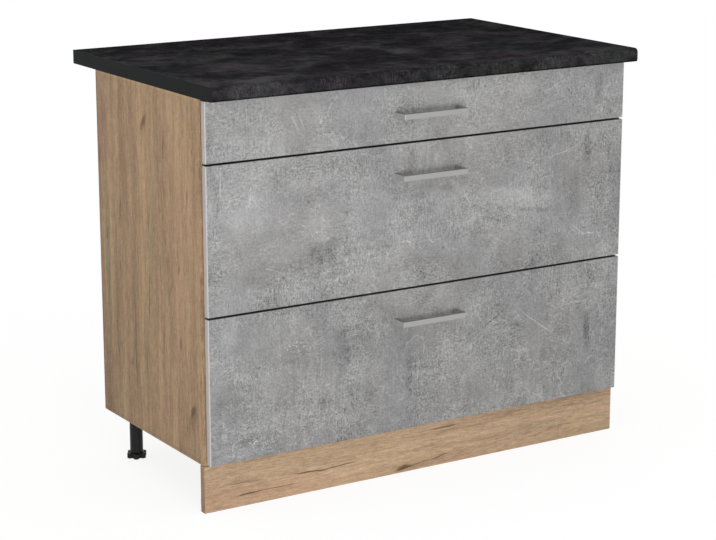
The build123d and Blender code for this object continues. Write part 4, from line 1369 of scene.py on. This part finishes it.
class CABINET_OT_rollers(CabinetOperator, bpy.types.Operator):
    """Make the nylon rollers of the runners and of the drawers"""

    bl_idname = "cabinet.rollers"
    bl_label = "Rollers"

    def pair(self, node, name, sizes):
        """Two rollers, one at each end of the CAD node's box."""
        low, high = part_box(node)
        radius = (high.z - low.z) / 2
        width, dip = sizes.roller_width, sizes.roller_dip
        rim, arris = radius - sizes.roller_rim, radius - sizes.roller_arris
        half = [
            (sizes.roller_bore, 0.0),
            (sizes.roller_hub, 0.0),
            (sizes.roller_hub, dip),
            (rim, dip),
            (rim, 0.0),
            (arris, 0.0),
            (radius, sizes.roller_arris),
        ]
        other_half = [(out, width - height) for out, height in reversed(half)]
        mesh = bmesh.new()
        for x in (low.x, high.x - width):
            centre = (x, (low.y + high.y) / 2, (low.z + high.z) / 2)
            turned(mesh, half + other_half, centre, (1, 0, 0), steps=48)
        finished(mesh, name, [node], ["nylon"])

    def build(self, sizes):
        for level in LEVELS:
            for end in ("front", "rear"):
                self.pair(f"{level}_{end}_rollers", f"{level}_{end}_roller_pair", sizes)


class CABINET_OT_screws(CabinetOperator, bpy.types.Operator):
    """Make the screws, with rounded heads"""

    bl_idname = "cabinet.screws"
    bl_label = "Screws"

    def screw(self, mesh, head_map, corners):
        """One screw in the room of a CAD screw's corners."""
        low = Vector(min(corner[i] for corner in corners) for i in range(3))
        high = Vector(max(corner[i] for corner in corners) for i in range(3))
        size = high - low
        middle = (low + high) / 2
        along = max(range(3), key=lambda i: size[i])
        first, second = (i for i in range(3) if i != along)

        def reach(end):
            """How far the corners at one end are from the screw's line."""
            across = [
                (corner[first] - middle[first], corner[second] - middle[second])
                for corner in corners
                if near(corner[along], end)
            ]
            return max(math.hypot(*each) for each in across)

        head_at_low = reach(low[along]) > reach(high[along])
        top, tip = (low, high) if head_at_low else (high, low)
        top, tip = top[along], tip[along]
        # the CAD screw's corners lie at its top, at its head's lower side and further down
        head = sorted({round(abs(corner[along] - top), 5) for corner in corners})[1]
        radius, shank = size[first] / 2, reach(tip)
        profile = [(radius * out, head * down) for out, down in SCREW_HEAD]
        profile += [(shank, head), (shank, size[along] - shank), (0.0, size[along])]
        axis = Vector((0, 0, 0))
        axis[along] = 1.0 if head_at_low else -1.0
        centre = middle.copy()
        centre[along] = top
        before = set(mesh.faces)
        turned(mesh, profile, centre, axis, steps=20)
        for face in mesh.faces:
            if face in before:
                continue
            on_top = abs(face.calc_center_median()[along] - top) < head * RECESS_REACH
            for loop in face.loops:
                away = (loop.vert.co - centre) * 1000
                loop[head_map].uv = (away[first], away[second]) if on_top else OFF_THE_RECESS

    def build(self, sizes):
        nodes = {"fitting_screws": "fitting_screw_set"}
        nodes.update({f"{level}_drawer_screws": f"{level}_screw_set" for level in LEVELS})
        for node, name in nodes.items():
            mesh = bmesh.new()
            head_map = mesh.loops.layers.uv.new(HEAD_MAP)
            for corners in solids(frame["nodes"][node]):
                self.screw(mesh, head_map, corners)
            finished(mesh, name, [node], ["zinc_screws"])


class CABINET_OT_dress_frame(CabinetOperator, bpy.types.Operator):
    """Give every carried-over CAD piece the finish of its slot"""

    bl_idname = "cabinet.dress_frame"
    bl_label = "Carried-over pieces"

    def build(self, sizes):
        for part in frame["record"]["subparts"]:
            node = frame["nodes"][part["node"]]
            if node.hide_render:
                continue
            node.data.materials.clear()
            node.data.materials.append(finish(SLOT_FINISH[part["material_slot"]]))


class CABINET_OT_studio(bpy.types.Operator):
    """Set up the floor, the soft studio light and the camera"""

    bl_idname = "cabinet.studio"
    bl_label = "Studio"
    bl_options = {"REGISTER", "UNDO"}

    def floor(self, studio):
        mesh = bmesh.new()
        bmesh.ops.create_grid(mesh, x_segments=1, y_segments=1, size=studio.floor_size)
        data = mesh_data("floor", mesh)
        made = Finish("white_floor", Roughness=0.9, Specular_IOR_Level=0.0, Emission_Strength=1.0)
        seen = self.seen(made)
        made.give("Base Color", made.mix(seen, studio.floor_lit, studio.floor_shaded))
        made.give("Emission Color", made.mix(seen, (0.0, 0.0, 0.0), studio.floor_glow))
        data.materials.append(made.material)
        ground = placed_object("floor", data)

    def seen(self, nodes):
        """1 for rays that show the background: the camera's, mirrored and passed through glass."""
        camera = nodes.node("ShaderNodeLightPath", {}, {}, "Is Camera Ray")
        outputs = camera.socket.node.outputs
        mirrored = Wire(nodes, outputs["Is Glossy Ray"])
        passed = Wire(nodes, outputs["Is Transmission Ray"])
        return camera.most(mirrored).most(passed)

    def sky(self, strength):
        world = bpy.data.worlds.new("studio")
        world.use_nodes = True
        made = Nodes(world.node_tree)
        made.tree.nodes.clear()
        level = strength + self.seen(made) * (1.0 - strength)
        light = made.node("ShaderNodeBackground", {}, {"Color": (1, 1, 1), "Strength": level})
        made.node("ShaderNodeOutputWorld", {}, {"Surface": light})
        bpy.context.scene.world = world

    def lamp(self, studio):
        data = bpy.data.lights.new("soft_lamp", "AREA")
        data.shape = "DISK"
        data.size = studio.lamp_size
        data.energy = studio.lamp
        lamp = placed_object("soft_lamp", data)
        lamp.location = studio.lamp_place
        towards = Vector(studio.lamp_target) - Vector(studio.lamp_place)
        lamp.rotation_euler = towards.to_track_quat("-Z", "Y").to_euler()

    def camera(self, studio):
        data = bpy.data.cameras.new("camera")
        data.sensor_width = studio.sensor * 1000
        data.lens = studio.lens * 1000
        data.clip_end = 100.0
        camera = placed_object("camera", data)
        camera.location = studio.camera_place
        camera.rotation_euler = (math.pi / 2 - studio.tilt, 0.0, -studio.heading)
        bpy.context.scene.camera = camera

    def execute(self, context):
        studio = context.scene.cabinet_studio
        self.floor(studio)
        self.sky(studio.sky)
        self.lamp(studio)
        self.camera(studio)
        context.scene.view_settings.view_transform = "Standard"
        return {"FINISHED"}


PIECE_OPERATORS = (
    CABINET_OT_worktop,
    CABINET_OT_side_panels,
    CABINET_OT_fronts,
    CABINET_OT_handles,
    CABINET_OT_plinth,
    CABINET_OT_legs,
    CABINET_OT_rods,
    CABINET_OT_rollers,
    CABINET_OT_screws,
    CABINET_OT_dress_frame,
    CABINET_OT_studio,
)


GROUPS = {
    "cabinet_sizes": CabinetSizes,
    "cabinet_colours": CabinetColours,
    "cabinet_studio": CabinetStudio,
}


class CABINET_PT_panel(bpy.types.Panel):
    """Lists the cabinet's pieces, sizes and colours"""

    bl_idname = "CABINET_PT_panel"
    bl_label = "Base cabinet"
    bl_space_type = "VIEW_3D"
    bl_region_type = "UI"
    bl_category = "Cabinet"

    def draw(self, context):
        for operator in PIECE_OPERATORS:
            self.layout.operator(operator.bl_idname)
        for group in GROUPS:
            box = self.layout.box()
            holder = getattr(context.scene, group)
            for key in holder.bl_rna.properties.keys():
                if key not in ("rna_type", "name"):
                    box.prop(holder, key)


def register():
    for each in (*GROUPS.values(), *PIECE_OPERATORS, CABINET_PT_panel):
        bpy.utils.register_class(each)
    for name, group in GROUPS.items():
        setattr(bpy.types.Scene, name, PointerProperty(type=group))


def unregister():
    for name in GROUPS:
        delattr(bpy.types.Scene, name)
    for each in reversed((*GROUPS.values(), *PIECE_OPERATORS, CABINET_PT_panel)):
        bpy.utils.unregister_class(each)


def main():
    register()
    for operator in PIECE_OPERATORS:
        group, name = operator.bl_idname.split(".")
        getattr(getattr(bpy.ops, group), name)()


if __name__ == "__main__":
    main()
